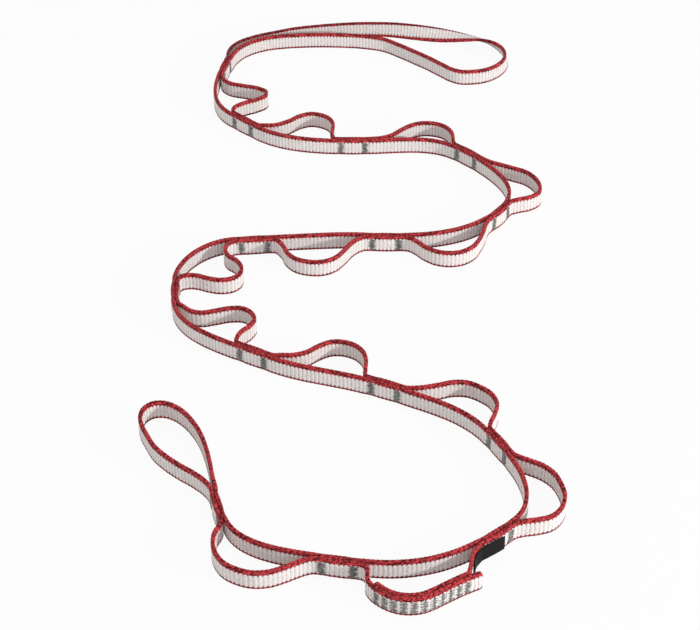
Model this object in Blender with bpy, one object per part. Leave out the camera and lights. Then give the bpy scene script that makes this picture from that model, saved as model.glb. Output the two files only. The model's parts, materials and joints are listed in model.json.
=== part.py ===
"""Climbing daisy chain: one ring of flat webbing, sewn to itself into a row of pockets.

The webbing stands on edge on the floor, in the loose S in which it is laid out.
+Z is up, the S runs from the long end loop, far from the viewer, to the short
one near the viewer (-Y), and the middle of its floor area is the origin.
A sewn junction is stiff and the webbing between two junctions bends, so each
junction and the span after it are one rigid link, hinged to the next on an
upright axis that lies between the two layers of webbing.
"""
import bisect
import math

import bmesh
import bpy
from mathutils import Vector

MM = 0.001

# Driving dimensions: the webbing and the way it is sewn
WEBBING_WIDTH = 12.0 * MM
WEBBING_THICKNESS = 2.4 * MM
PITCH = 86.0 * MM
SPLICED_PITCH = 91.5 * MM
TACK_SPACING = 17.0 * MM
POCKET_STRAND = 96.0 * MM
CLEARANCE = 0.3 * MM

# Bar tacks: a bar of thread on each side and the stitches that join them
TACK_LENGTH = 4.2 * MM
TACK_HEIGHT = 8.0 * MM
TACK_RISE = 0.5 * MM
TACK_CORE_LENGTH = 1.2 * MM
TACK_CORE_HEIGHT = 4.0 * MM
TACK_TO_HINGE = 4.2 * MM

# Hinges between the links
HINGE_BEND = math.radians(28.0)

# Splice: the two ends of the webbing lapped and sewn in the last pocket but one
SPLICE_COLUMNS = 11
SPLICE_COLUMN_LENGTH = 2.0 * MM
SPLICE_COLUMN_HEIGHT = 8.4 * MM
SPLICE_RUN_HEIGHT = 4.0 * MM
SPLICE_THREAD_RISE = 0.5 * MM
SPLICE_CORE_LENGTH = 1.0 * MM

# Label tape on the outside of the junction before the splice
LABEL_HEIGHT = 8.6 * MM
LABEL_THICKNESS = 0.5 * MM
LABEL_FOOT = 1.0 * MM
LABEL_RAMP = 4.0 * MM
LABEL_PAST_TACK = 3.2 * MM
LABEL_LENGTH = 34.0 * MM

# How finely a bend is stepped
STEP_TURN = math.radians(15.0)
STEP_REACH = 14.0 * MM
TRACE_STEPS = 12

# How a pocket is swelled or flattened until its strand has its length
SWELL_SHARES = (0.5, 1.6)
SWELL_STEPS = 30

# What follows from the driving dimensions
LAYER_SPACING = WEBBING_THICKNESS + CLEARANCE
SIDE = LAYER_SPACING / 2.0
HALF_THICKNESS = WEBBING_THICKNESS / 2.0
JOINED_LENGTH = TACK_SPACING + 2.0 * TACK_TO_HINGE
FREE_SPAN = PITCH - JOINED_LENGTH
SPLICED_SPAN = SPLICED_PITCH - JOINED_LENGTH
FREE_POCKET = POCKET_STRAND - 2.0 * TACK_TO_HINGE
MID_HEIGHT = WEBBING_WIDTH / 2.0

# Headings in degrees, 0 along +X and counter-clockwise, one row per junction:
# where the junction starts, where it ends, and the chord to the next junction
JUNCTION_HEADINGS = (
    (-104, -97, -78),
    (-45, -42, -19),
    (-3, 4, -7),
    (-40, -51, -74),
    (-115, -135, -159),
    (-178, -183, -177),
    (-176, -172, -128),
    (-92, -80, -47),
    (-30, -29, -20),
    (-22, -27, -38),
    (-60, -64, -92),
    (-136, -143, -166),
    (-189, -191, -210),
    (-250, -259, None),
)
SPAN_HANDLE_SHARE = 0.36

# Where each pocket's strand runs: shares of its span's chord, along and to the left
POCKET_SHARES = {
    1: ((0.10, 0.01), (0.24, 0.07), (0.36, 0.24), (0.46, 0.39), (0.56, 0.46), (0.65, 0.44),
        (0.73, 0.32), (0.79, 0.15), (0.87, 0.04)),
    2: ((0.08, 0.035), (0.20, 0.08), (0.32, 0.21), (0.42, 0.38), (0.52, 0.46), (0.64, 0.47),
        (0.76, 0.43), (0.85, 0.33), (0.90, 0.18), (0.94, 0.07)),
    3: ((0.12, 0.06), (0.22, 0.13), (0.34, 0.30), (0.45, 0.43), (0.57, 0.50), (0.70, 0.51),
        (0.82, 0.47), (0.92, 0.36), (0.97, 0.20), (0.985, 0.09)),
    4: ((0.10, 0.08), (0.20, 0.17), (0.31, 0.27), (0.43, 0.37), (0.58, 0.42), (0.76, 0.42),
        (0.90, 0.37), (0.97, 0.25), (0.985, 0.11)),
    5: ((0.04, 0.07), (0.14, 0.22), (0.25, 0.36), (0.38, 0.48), (0.52, 0.53), (0.66, 0.51),
        (0.79, 0.42), (0.87, 0.29), (0.92, 0.14), (0.96, 0.06)),
    6: ((0.08, 0.05), (0.17, 0.14), (0.26, 0.28), (0.36, 0.40), (0.50, 0.46), (0.64, 0.45),
        (0.77, 0.39), (0.86, 0.27), (0.91, 0.12)),
    7: ((0.11, -0.01), (0.21, 0.04), (0.28, 0.14), (0.30, 0.29), (0.38, 0.43), (0.50, 0.49),
        (0.62, 0.47), (0.71, 0.39), (0.77, 0.26), (0.80, 0.15), (0.86, 0.055), (0.945, 0.01)),
    8: ((0.12, 0.01), (0.24, 0.02), (0.33, 0.07), (0.40, 0.18), (0.48, 0.33), (0.58, 0.42),
        (0.70, 0.43), (0.80, 0.39), (0.86, 0.28), (0.88, 0.16), (0.93, 0.07)),
    9: ((0.09, 0.05), (0.20, 0.09), (0.30, 0.17), (0.38, 0.30), (0.47, 0.40), (0.58, 0.44),
        (0.71, 0.43), (0.82, 0.37), (0.90, 0.26), (0.95, 0.12)),
    10: ((0.05, 0.06), (0.13, 0.14), (0.22, 0.26), (0.31, 0.39), (0.42, 0.47), (0.56, 0.49),
         (0.71, 0.47), (0.84, 0.38), (0.92, 0.22), (0.965, 0.09)),
    11: ((0.03, 0.07), (0.08, 0.17), (0.16, 0.31), (0.27, 0.41), (0.42, 0.47), (0.60, 0.50),
         (0.77, 0.46), (0.89, 0.37), (0.95, 0.23), (0.98, 0.10)),
    13: ((0.04, 0.07), (0.10, 0.17), (0.17, 0.30), (0.26, 0.43), (0.38, 0.52), (0.53, 0.555),
         (0.68, 0.54), (0.81, 0.46), (0.91, 0.34), (0.97, 0.20), (0.985, 0.09)),
}

# The spliced pocket: the lap, from its free tail on, and the strand that it lies on
SPLICED_POCKET = 12
LAP_SHARES = ((0.08, 0.345), (0.16, 0.365), (0.26, 0.395), (0.40, 0.445), (0.51, 0.485),
              (0.61, 0.51), (0.71, 0.505), (0.80, 0.475), (0.88, 0.42), (0.94, 0.35),
              (0.985, 0.27), (1.0, 0.20), (0.985, 0.13), (0.975, 0.07))
LAPPED_STRAND_SHARES = ((0.03, 0.055), (0.075, 0.10), (0.11, 0.165), (0.138, 0.235), (0.165, 0.29))
LAP_START_SHARE = 0.08
LAP_END_SHARE = 0.77
STITCH_START_SHARE = 0.11
STITCH_END_SHARE = 0.74

# End loops: shares of the pitch from the middle of their junction's outer end,
# away from it and to the right (long loop) or left (short loop)
LONG_LOOP_SHARES = (
    (0.13, 0.02), (0.24, 0.05), (0.34, 0.11), (0.43, 0.20), (0.51, 0.34), (0.59, 0.55),
    (0.65, 0.78), (0.69, 1.06), (0.68, 1.23), (0.61, 1.39), (0.53, 1.54), (0.44, 1.70),
    (0.35, 1.84), (0.29, 1.94), (0.27, 2.02), (0.29, 2.11), (0.36, 2.23), (0.47, 2.31),
    (0.60, 2.345), (0.72, 2.33), (0.84, 2.27), (0.93, 2.17), (0.98, 2.05), (0.985, 1.90),
    (0.98, 1.70), (0.98, 1.43), (0.96, 1.16), (0.91, 0.95), (0.84, 0.76), (0.76, 0.58),
    (0.67, 0.41), (0.56, 0.26), (0.44, 0.11), (0.32, 0.01), (0.20, -0.035), (0.09, -0.035),
)
SHORT_LOOP_SHARES = (
    (0.12, -0.01), (0.28, -0.01), (0.46, 0.0), (0.60, 0.02), (0.72, 0.055), (0.82, 0.10),
    (0.89, 0.15), (0.94, 0.215), (0.95, 0.29), (0.91, 0.355), (0.83, 0.39), (0.74, 0.39),
    (0.62, 0.365), (0.50, 0.33), (0.39, 0.27), (0.28, 0.19), (0.18, 0.105), (0.10, 0.05),
)
TWIST_START_SHARE = 0.465
TWIST_END_SHARE = 0.745

# The link that stands still while the others turn
ROOT_LINK = 7


# Directions and curves in the floor plane
def heading(degrees):
    angle = math.radians(degrees)
    return Vector((math.cos(angle), math.sin(angle)))


def left_of(direction):
    return Vector((-direction.y, direction.x))


def hermite(start, end, start_slope, end_slope, share):
    """A point of the cubic that leaves and arrives with the given slopes."""
    t2 = share * share
    t3 = t2 * share
    at_start = 2.0 * t3 - 3.0 * t2 + 1.0
    at_end = 3.0 * t2 - 2.0 * t3
    return (start * at_start + start_slope * (t3 - 2.0 * t2 + share)
            + end * at_end + end_slope * (t3 - t2))


def smooth_curve(points, start_direction, end_direction):
    """Close points on a smooth curve through the given ones."""
    reaches = [(b - a).length for a, b in zip(points, points[1:])]
    slopes = [start_direction]
    for i in range(1, len(points) - 1):
        before = (points[i] - points[i - 1]) / reaches[i - 1]
        after = (points[i + 1] - points[i]) / reaches[i]
        slopes.append((before * reaches[i] + after * reaches[i - 1]) / (reaches[i - 1] + reaches[i]))
    slopes.append(end_direction)
    traced = [points[0]]
    for i, reach in enumerate(reaches):
        for step in range(1, TRACE_STEPS + 1):
            traced.append(hermite(points[i], points[i + 1], slopes[i] * reach,
                                  slopes[i + 1] * reach, step / TRACE_STEPS))
    return traced


class Path:
    """A plane curve traced by close points, with the length along it."""

    def __init__(self, points):
        self.points = points
        self.along = [0.0]
        for a, b in zip(points, points[1:]):
            self.along.append(self.along[-1] + (b - a).length)
        self.length = self.along[-1]
        chords = [(b - a).normalized() for a, b in zip(points, points[1:])]
        inner = [(a + b).normalized() for a, b in zip(chords, chords[1:])]
        self.directions = [chords[0]] + inner + [chords[-1]]

    def at(self, s):
        """The point and the direction at length s."""
        i = min(max(bisect.bisect_right(self.along, s) - 1, 0), len(self.points) - 2)
        share = (s - self.along[i]) / (self.along[i + 1] - self.along[i])
        point = self.points[i].lerp(self.points[i + 1], share)
        blend = min(max(share, 0.0), 1.0)
        return point, self.directions[i].lerp(self.directions[i + 1], blend).normalized()

    def beside(self, s, offset):
        """The point at length s, moved to the left by offset."""
        point, direction = self.at(s)
        return point + left_of(direction) * offset

    def shifted(self, offset):
        return Path([p + left_of(d) * offset for p, d in zip(self.points, self.directions)])

    def nearest(self, place):
        """The length at which the curve passes a place."""
        best = min(range(len(self.points)), key=lambda i: (self.points[i] - place).length)
        point, direction = self.points[best], self.directions[best]
        return self.along[best] + (place - point).dot(direction)

    def stations(self, marks):
        """Lengths to step through: every mark, and steps between them where it turns."""
        turn = [0.0]
        for a, b, reach in zip(self.directions, self.directions[1:],
                               [t - s for s, t in zip(self.along, self.along[1:])]):
            turn.append(turn[-1] + abs(a.angle_signed(b)) / STEP_TURN + reach / STEP_REACH)

        def effort(s):
            i = min(max(bisect.bisect_right(self.along, s) - 1, 0), len(self.along) - 2)
            share = (s - self.along[i]) / (self.along[i + 1] - self.along[i])
            return turn[i] + (turn[i + 1] - turn[i]) * share

        def reached(value):
            i = min(max(bisect.bisect_right(turn, value) - 1, 0), len(turn) - 2)
            share = (value - turn[i]) / (turn[i + 1] - turn[i])
            return self.along[i] + (self.along[i + 1] - self.along[i]) * share

        out = []
        for start, end in zip(marks, marks[1:]):
            low, high = effort(start), effort(end)
            steps = max(1, round(high - low))
            out.append(start)
            out += [reached(low + (high - low) * i / steps) for i in range(1, steps)]
        return out + [marks[-1]]


# The route: junctions one pitch apart, each followed by its span
class Link:
    """The line between the two layers of one junction, then along the span after it."""

    def __init__(self, number, start):
        self.number = number
        first, last, chord = JUNCTION_HEADINGS[number - 1]
        joined = [start]
        for step in range(TRACE_STEPS):
            turned = first + (last - first) * (2 * step + 1) / (2 * TRACE_STEPS)
            joined.append(joined[-1] + heading(turned) * (JOINED_LENGTH / TRACE_STEPS))
        self.hinge = start
        self.entry = heading(first)
        self.exit = heading(last)
        self.joined = Path(joined)
        self.line = self.joined
        if chord is not None:
            arrival = heading(JUNCTION_HEADINGS[number][0])
            self.chord = heading(chord)
            span = SPLICED_SPAN if number == SPLICED_POCKET else FREE_SPAN
            self.reach = span / Path(self.bend(joined[-1], 1.0, arrival)).length
            self.arrival = arrival
            self.line = Path(joined + self.bend(joined[-1], self.reach, arrival)[1:])
            self.end = self.line.points[-1]

    def bend(self, start, reach, arrival):
        """The spine's gentle curve over a chord of the given reach."""
        end = start + self.chord * reach
        slope = 3.0 * SPAN_HANDLE_SHARE * reach
        steps = 2 * TRACE_STEPS
        return [hermite(start, end, self.exit * slope, arrival * slope, i / steps)
                for i in range(steps + 1)]

    def place(self, along_share, left_share):
        """A place given in shares of the span's chord."""
        base = self.joined.points[-1]
        return base + (self.chord * along_share + left_of(self.chord) * left_share) * self.reach

    def tack_places(self):
        return [TACK_TO_HINGE, TACK_TO_HINGE + TACK_SPACING]


def route():
    """All the links, moved so that their floor area is centred on the origin."""
    start = Vector((0.0, 0.0))
    for shift in range(2):
        links = []
        at = start
        for number in range(1, len(JUNCTION_HEADINGS) + 1):
            link = Link(number, at)
            links.append(link)
            at = link.line.points[-1]
        strands = [strand_path(link) for link in links[:-1]]
        strands += [long_loop_path(links[0]), short_loop_path(links[-1])]
        points = [p for path in strands + [link.line for link in links] for p in path.points]
        middle = Vector([(min(p[i] for p in points) + max(p[i] for p in points)) / 2.0
                         for i in (0, 1)])
        start = start - middle
    return links


def strand_path(link):
    """The pocket side of a link: along the junction, then round the pocket."""
    joined = link.joined.shifted(SIDE).points
    if link.number == SPLICED_POCKET:
        lap = lap_path(link)
        covered = lap.shifted(LAYER_SPACING * -1.0)
        ends = covered.length * LAP_START_SHARE, covered.length * LAP_END_SHARE
        under = [p for p, s in zip(covered.points, covered.along) if ends[0] < s < ends[1]]
        via = [link.place(*share) for share in LAPPED_STRAND_SHARES]
        curve = smooth_curve([joined[-1]] + via + under[:1], link.exit,
                             (under[1] - under[0]).normalized())
        return Path(joined[:-1] + curve + under[1:])
    low, high = SWELL_SHARES
    for _ in range(SWELL_STEPS):
        swell = (low + high) / 2.0
        via = [link.place(a, side * swell) for a, side in POCKET_SHARES[link.number]]
        last = link.end + left_of(link.arrival) * SIDE
        curve = smooth_curve([joined[-1]] + via + [last], link.exit, link.arrival)
        if Path(curve).length < FREE_POCKET:
            low = swell
        else:
            high = swell
    return Path(joined[:-1] + curve)


def lap_path(link):
    """The outer layer of the splice, from its free tail to the next junction."""
    via = [link.place(*share) for share in LAP_SHARES]
    last = link.end + left_of(link.arrival) * SIDE
    return Path(smooth_curve(via + [last], (via[1] - via[0]).normalized(), link.arrival))


def shares_between(first, last, count):
    return [first + (last - first) * i / (count - 1) for i in range(count)]


def long_loop_path(link):
    """From the pocket side of the first junction round the long end loop to its spine side."""
    away = link.entry * -1.0
    right = left_of(away) * -1.0
    via = [link.hinge + (away * a + right * b) * PITCH for a, b in LONG_LOOP_SHARES]
    first = link.hinge + right * SIDE
    last = link.hinge - right * SIDE
    return Path(smooth_curve([first] + via + [last], away, link.entry))


def short_loop_path(link):
    """From the spine side of the last junction round the short end loop and back."""
    base = link.joined.points[-1]
    left = left_of(link.exit)
    via = [base + (link.exit * a + left * b) * PITCH for a, b in SHORT_LOOP_SHARES]
    out = link.joined.shifted(SIDE * -1.0).points
    back = link.joined.shifted(SIDE).points[::-1]
    curve = smooth_curve([out[-1]] + via + [back[0]], link.exit, link.exit * -1.0)
    return Path(out[:-1] + curve + back[1:])


# Materials and bodies
def material(name, colour, roughness):
    mat = bpy.data.materials.new(name)
    mat.use_nodes = True
    shader = mat.node_tree.nodes["Principled BSDF"]
    shader.inputs["Base Color"].default_value = colour + (1.0,)
    shader.inputs["Roughness"].default_value = roughness
    shader.inputs["Metallic"].default_value = 0.0
    mat.diffuse_color = colour + (1.0,)
    return mat


def body(name, mat, origin, counts, is_filled, place):
    """One closed mesh: the skin of the filled cells of a bent grid of cells.

    counts holds the cells along, up and across; place gives a grid corner's point.
    """
    mesh = bmesh.new()
    corners = {}

    def corner(key):
        if key not in corners:
            corners[key] = mesh.verts.new(place(*key) - origin)
        return corners[key]

    def filled(cell):
        inside = all(0 <= c < n for c, n in zip(cell, counts))
        return inside and is_filled(*cell)

    for i in range(counts[0]):
        for j in range(counts[1]):
            for k in range(counts[2]):
                if not filled((i, j, k)):
                    continue
                for axis in range(3):
                    for step in (0, 1):
                        beside = [i, j, k]
                        beside[axis] += 2 * step - 1
                        if filled(tuple(beside)):
                            continue
                        u, v = [a for a in range(3) if a != axis]
                        ring = []
                        for du, dv in ((0, 0), (1, 0), (1, 1), (0, 1)):
                            key = [i, j, k]
                            key[axis] += step
                            key[u] += du
                            key[v] += dv
                            ring.append(corner(tuple(key)))
                        mesh.faces.new(ring)
    bmesh.ops.recalc_face_normals(mesh, faces=mesh.faces)
    data = bpy.data.meshes.new(name)
    mesh.to_mesh(data)
    mesh.free()
    data.materials.append(mat)
    made = bpy.data.objects.new(name, data)
    made.location = origin
    bpy.context.scene.collection.objects.link(made)
    return made


def upright(point, height):
    return Vector((point.x, point.y, height))


def set_back(point, direction, hinge, across):
    """A strand's end corner, drawn back so that the hinge can bend."""
    from_axis = abs((point - hinge).dot(across))
    return point + direction * (CLEARANCE / 2.0 + from_axis * math.tan(HINGE_BEND / 2.0))


def strand(name, mat, origin, path, windows, first_hinge, last_hinge, roll=None):
    """A length of webbing on edge along a path, with a window for each core of thread."""
    marks = [0.0]
    for place, length in sorted(windows):
        marks += [place - length / 2.0 - CLEARANCE, place + length / 2.0 + CLEARANCE]
    marks.append(path.length)
    lengths = path.stations(marks)
    holes = {lengths.index(mark) for mark in marks[1:-1:2]}
    window_height = TACK_CORE_HEIGHT + 2.0 * CLEARANCE
    levels = (0.0, MID_HEIGHT - window_height / 2.0, MID_HEIGHT + window_height / 2.0,
              WEBBING_WIDTH)
    last = len(lengths) - 1

    def corner(i, j, k):
        centre, direction = path.at(lengths[i])
        across = left_of(direction)
        side = HALF_THICKNESS * (2 * k - 1)
        rise = levels[j] - MID_HEIGHT
        turned = roll(lengths[i] / path.length) if roll else 0.0
        lateral = side * math.cos(turned) + rise * math.sin(turned)
        reach = (MID_HEIGHT * abs(math.cos(turned)) + HALF_THICKNESS * abs(math.sin(turned)))
        height = max(MID_HEIGHT, reach) + rise * math.cos(turned) - side * math.sin(turned)
        point = centre + across * lateral
        if i == 0 and first_hinge:
            point = set_back(point, direction, *first_hinge)
        if i == last and last_hinge:
            point = set_back(point, direction * -1.0, *last_hinge)
        return upright(point, height)

    return body(name, mat, origin, (last, len(levels) - 1, 1),
                lambda i, j, k: not (i in holes and j == 1), corner)


def bar_tack(name, mat, origin, line, place):
    """A bar of thread on both faces of a junction and the core that joins them."""
    half, core = TACK_LENGTH / 2.0, TACK_CORE_LENGTH / 2.0
    lengths = (place - half, place - core, place + core, place + half)
    tall, middle = TACK_HEIGHT / 2.0, TACK_CORE_HEIGHT / 2.0
    levels = (MID_HEIGHT - tall, MID_HEIGHT - middle, MID_HEIGHT + middle, MID_HEIGHT + tall)
    face = SIDE + HALF_THICKNESS + CLEARANCE
    depths = (-face - TACK_RISE, -face, face, face + TACK_RISE)

    def is_filled(i, j, k):
        return k != 1 or (i == 1 and j == 1)

    return body(name, mat, origin, (3, 3, 3), is_filled,
                lambda i, j, k: upright(line.beside(lengths[i], depths[k]), levels[j]))


def splice_stitching(name, mat, origin, lap, places):
    """Columns of stitching through both layers, with the runs of thread between them."""
    lengths = []
    for place in places:
        half, core = SPLICE_COLUMN_LENGTH / 2.0, SPLICE_CORE_LENGTH / 2.0
        lengths += [place - half, place - core, place + core, place + half]
    tall, run = SPLICE_COLUMN_HEIGHT / 2.0, SPLICE_RUN_HEIGHT / 2.0
    levels = (MID_HEIGHT - tall, MID_HEIGHT - run, MID_HEIGHT + run, MID_HEIGHT + tall)
    outer = HALF_THICKNESS + CLEARANCE
    inner = LAYER_SPACING + HALF_THICKNESS + CLEARANCE
    depths = (-inner - SPLICE_THREAD_RISE, -inner, outer, outer + SPLICE_THREAD_RISE)

    def is_filled(i, j, k):
        if k == 1:
            return i % 4 == 1 and j == 1
        return i % 4 != 3 or j == 1

    return body(name, mat, origin, (len(lengths) - 1, 3, 3), is_filled,
                lambda i, j, k: upright(lap.beside(lengths[i], depths[k]), levels[j]))


def label(name, mat, origin, path, tack):
    """A plain tape over the second bar tack, down on the webbing at both ends."""
    start = tack - TACK_SPACING + LABEL_PAST_TACK
    end = start + LABEL_LENGTH
    over = (tack - TACK_LENGTH, tack + TACK_LENGTH)
    lengths = path.stations([start, over[0], over[1], end])
    near = HALF_THICKNESS + CLEARANCE
    clear = TACK_RISE + CLEARANCE

    def lift(s):
        off = max(over[0] - s, s - over[1], 0.0) / LABEL_RAMP
        share = max(0.0, 1.0 - off)
        return near + clear * share * share * (3.0 - 2.0 * share)

    return body(name, mat, origin, (len(lengths) - 1, 1, 1), lambda i, j, k: True,
                lambda i, j, k: upright(
                    path.beside(lengths[i], lift(lengths[i]) + k * LABEL_THICKNESS),
                    LABEL_FOOT + j * LABEL_HEIGHT))


def twist(share):
    """The half turn of the long end loop, eased in and out."""
    t = (share - TWIST_START_SHARE) / (TWIST_END_SHARE - TWIST_START_SHARE)
    t = min(max(t, 0.0), 1.0)
    return math.pi * t * t * (3.0 - 2.0 * t)


def tack_windows(link, path):
    """Where the cores of a link's bar tacks pass through one of its strands."""
    return [(path.nearest(link.joined.at(s)[0]), TACK_CORE_LENGTH) for s in link.tack_places()]


def build():
    for old in list(bpy.data.objects):
        bpy.data.objects.remove(old, do_unlink=True)
    webbing = material("woven_webbing_white", (0.78, 0.74, 0.73), 0.85)
    thread = material("bar_tack_thread_grey", (0.16, 0.19, 0.18), 0.8)
    black = material("label_tape_black", (0.02, 0.02, 0.022), 0.6)

    links = route()
    hinges = [(link.hinge, left_of(link.entry)) for link in links]

    def origin_of(number):
        """The hinge on which a link turns; links below the root turn on the hinge after them."""
        hinge = hinges[number][0] if number < ROOT_LINK else hinges[number - 1][0]
        return upright(hinge, 0.0)

    loop = long_loop_path(links[0])
    strand("webbing_long_end_loop", webbing, origin_of(0), loop, [], hinges[0], hinges[0], twist)

    for link in links:
        number = link.number
        origin = origin_of(number)
        for place, letter in zip(link.tack_places(), "ab"):
            bar_tack(f"bar_tack_{number:02d}{letter}", thread, origin, link.joined, place)
        if number == len(links):
            loop = short_loop_path(link)
            out = Path(link.joined.shifted(SIDE * -1.0).points)
            windows = tack_windows(link, out)
            windows += [(loop.length - place, length) for place, length
                        in tack_windows(link, Path(link.joined.shifted(SIDE).points))]
            strand("webbing_short_end_loop", webbing, origin, loop, windows,
                   hinges[number - 1], hinges[number - 1])
            continue
        ends = hinges[number - 1], hinges[number]
        spine = link.line.shifted(SIDE * -1.0)
        strand(f"webbing_spine_{number:02d}", webbing, origin, spine,
               tack_windows(link, spine), *ends)
        pocket = strand_path(link)
        windows = tack_windows(link, pocket)
        if number != SPLICED_POCKET:
            strand(f"webbing_pocket_{number:02d}", webbing, origin, pocket, windows, *ends)
            continue
        lap = lap_path(link)
        places = [lap.length * share for share
                  in shares_between(STITCH_START_SHARE, STITCH_END_SHARE, SPLICE_COLUMNS)]
        under = [(pocket.nearest(lap.beside(s, LAYER_SPACING * -1.0)), SPLICE_CORE_LENGTH)
                 for s in places]
        strand(f"webbing_pocket_{number:02d}", webbing, origin, pocket, windows + under,
               ends[0], None)
        strand("webbing_splice_lap", webbing, origin, lap,
               [(s, SPLICE_CORE_LENGTH) for s in places], None, ends[1])
        splice_stitching("splice_stitching", thread, origin, lap, places)
        label("label_tape", black, origin, pocket, windows[1][0])


build()
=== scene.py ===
# %% [markdown]
# # A climbing daisy chain, dressed for the camera
# A daisy chain is one long ring of flat webbing. It is pressed flat, and pairs of bar tacks close it into a
# row of pockets, so that a carabiner can be clipped in anywhere along it. Here it lies open on its edge in a
# loose zigzag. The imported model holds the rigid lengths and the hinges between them, and this script weaves,
# sews and lights what the eye sees around that fixed frame.

import bisect
import json
import math

import bmesh
import bpy
from mathutils import Matrix, Vector


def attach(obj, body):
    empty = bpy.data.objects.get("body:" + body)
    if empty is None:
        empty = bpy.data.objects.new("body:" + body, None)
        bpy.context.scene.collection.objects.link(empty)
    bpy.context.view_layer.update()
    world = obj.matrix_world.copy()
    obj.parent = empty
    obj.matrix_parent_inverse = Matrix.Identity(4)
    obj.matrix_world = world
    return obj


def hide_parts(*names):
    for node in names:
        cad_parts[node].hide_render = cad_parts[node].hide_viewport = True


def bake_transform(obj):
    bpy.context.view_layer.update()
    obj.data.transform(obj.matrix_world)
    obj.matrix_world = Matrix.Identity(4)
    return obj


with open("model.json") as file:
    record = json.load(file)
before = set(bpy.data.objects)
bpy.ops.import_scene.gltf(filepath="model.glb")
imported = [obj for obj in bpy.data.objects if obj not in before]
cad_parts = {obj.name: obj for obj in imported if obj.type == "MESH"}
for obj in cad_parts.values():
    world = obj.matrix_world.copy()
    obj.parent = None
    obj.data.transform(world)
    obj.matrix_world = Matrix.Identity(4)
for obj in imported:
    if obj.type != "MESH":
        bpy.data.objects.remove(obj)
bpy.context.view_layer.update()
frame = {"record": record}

# %% [markdown]
# ## Camera
# The picture was taken with a long lens from about 36 degrees above the floor. Each tack's place in the
# photograph and its place in the model gave the distance, the focal length and the small roll. The camera
# could be aimed with a Track To constraint, but a matrix written from the three directions it looks along
# says the same in one line and can't be upset by what it tracks.


# %% Camera
def put(name, data):
    """A new object in the scene, at the origin, that holds the data."""
    made = bpy.data.objects.new(name, data)
    bpy.context.scene.collection.objects.link(made)
    return made


MM = 0.001
IMAGE_WIDTH_PX = 700.0
SENSOR_WIDTH = 36.0
FOCAL_LENGTH_PX = 1945.9
CAMERA_DISTANCE = 1219.5 * MM
CAMERA_ELEVATION = math.radians(36.0)
CAMERA_ROLL = math.radians(0.16)
CAMERA_YAW = math.radians(-0.67)
AIM_POINT = (-4.57 * MM, -55.32 * MM, 0.25 * MM)


def make_camera():
    turn = Matrix.Rotation(-CAMERA_YAW, 3, "Z")
    aim = turn @ Vector(AIM_POINT)
    back = turn @ Vector((0.0, -math.cos(CAMERA_ELEVATION), math.sin(CAMERA_ELEVATION)))
    level = turn @ Vector((1.0, 0.0, 0.0))
    raised = back.cross(level)
    right = level * math.cos(CAMERA_ROLL) - raised * math.sin(CAMERA_ROLL)
    up = level * math.sin(CAMERA_ROLL) + raised * math.cos(CAMERA_ROLL)
    data = bpy.data.cameras.new("camera")
    data.sensor_width = SENSOR_WIDTH
    data.lens = FOCAL_LENGTH_PX * SENSOR_WIDTH / IMAGE_WIDTH_PX
    camera = put("camera", data)
    camera.matrix_world = (Matrix.Translation(aim + back * CAMERA_DISTANCE)
                           @ Matrix((right, up, back)).transposed().to_4x4())
    bpy.context.scene.camera = camera
    return camera


camera = make_camera()
print("camera at", [round(x, 3) for x in camera.location], "lens", round(camera.data.lens, 1))

# %% [markdown]
# ## Where the webbing runs
# The strands have to lie exactly where the rigid lengths lie, and this script can't read the part's own
# source. The short tables that the route is drawn from are repeated here instead: headings for each
# junction, and the shape of each pocket in shares of its own span.

# %% Sizes shared with the rigid lengths
WEBBING_WIDTH = 12.0 * MM
WEBBING_THICKNESS = 2.4 * MM
PITCH = 86.0 * MM
SPLICED_PITCH = 91.5 * MM
TACK_SPACING = 17.0 * MM
TACK_TO_HINGE = 4.2 * MM
POCKET_STRAND = 96.0 * MM
CLEARANCE = 0.3 * MM
TRACE_STEPS = 12
SWELL_SHARES = (0.5, 1.6)
SWELL_STEPS = 30

LAYER_SPACING = WEBBING_THICKNESS + CLEARANCE
SIDE = LAYER_SPACING / 2.0
MID_HEIGHT = WEBBING_WIDTH / 2.0
JOINED_LENGTH = TACK_SPACING + 2.0 * TACK_TO_HINGE

# Headings in degrees at each junction's start and end, and of the chord to the next one
JUNCTION_HEADINGS = (
    (-104, -97, -78), (-45, -42, -19), (-3, 4, -7), (-40, -51, -74), (-115, -135, -159),
    (-178, -183, -177), (-176, -172, -128), (-92, -80, -47), (-30, -29, -20), (-22, -27, -38),
    (-60, -64, -92), (-136, -143, -166), (-189, -191, -210), (-250, -259, None),
)
SPAN_HANDLE_SHARE = 0.36

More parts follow.
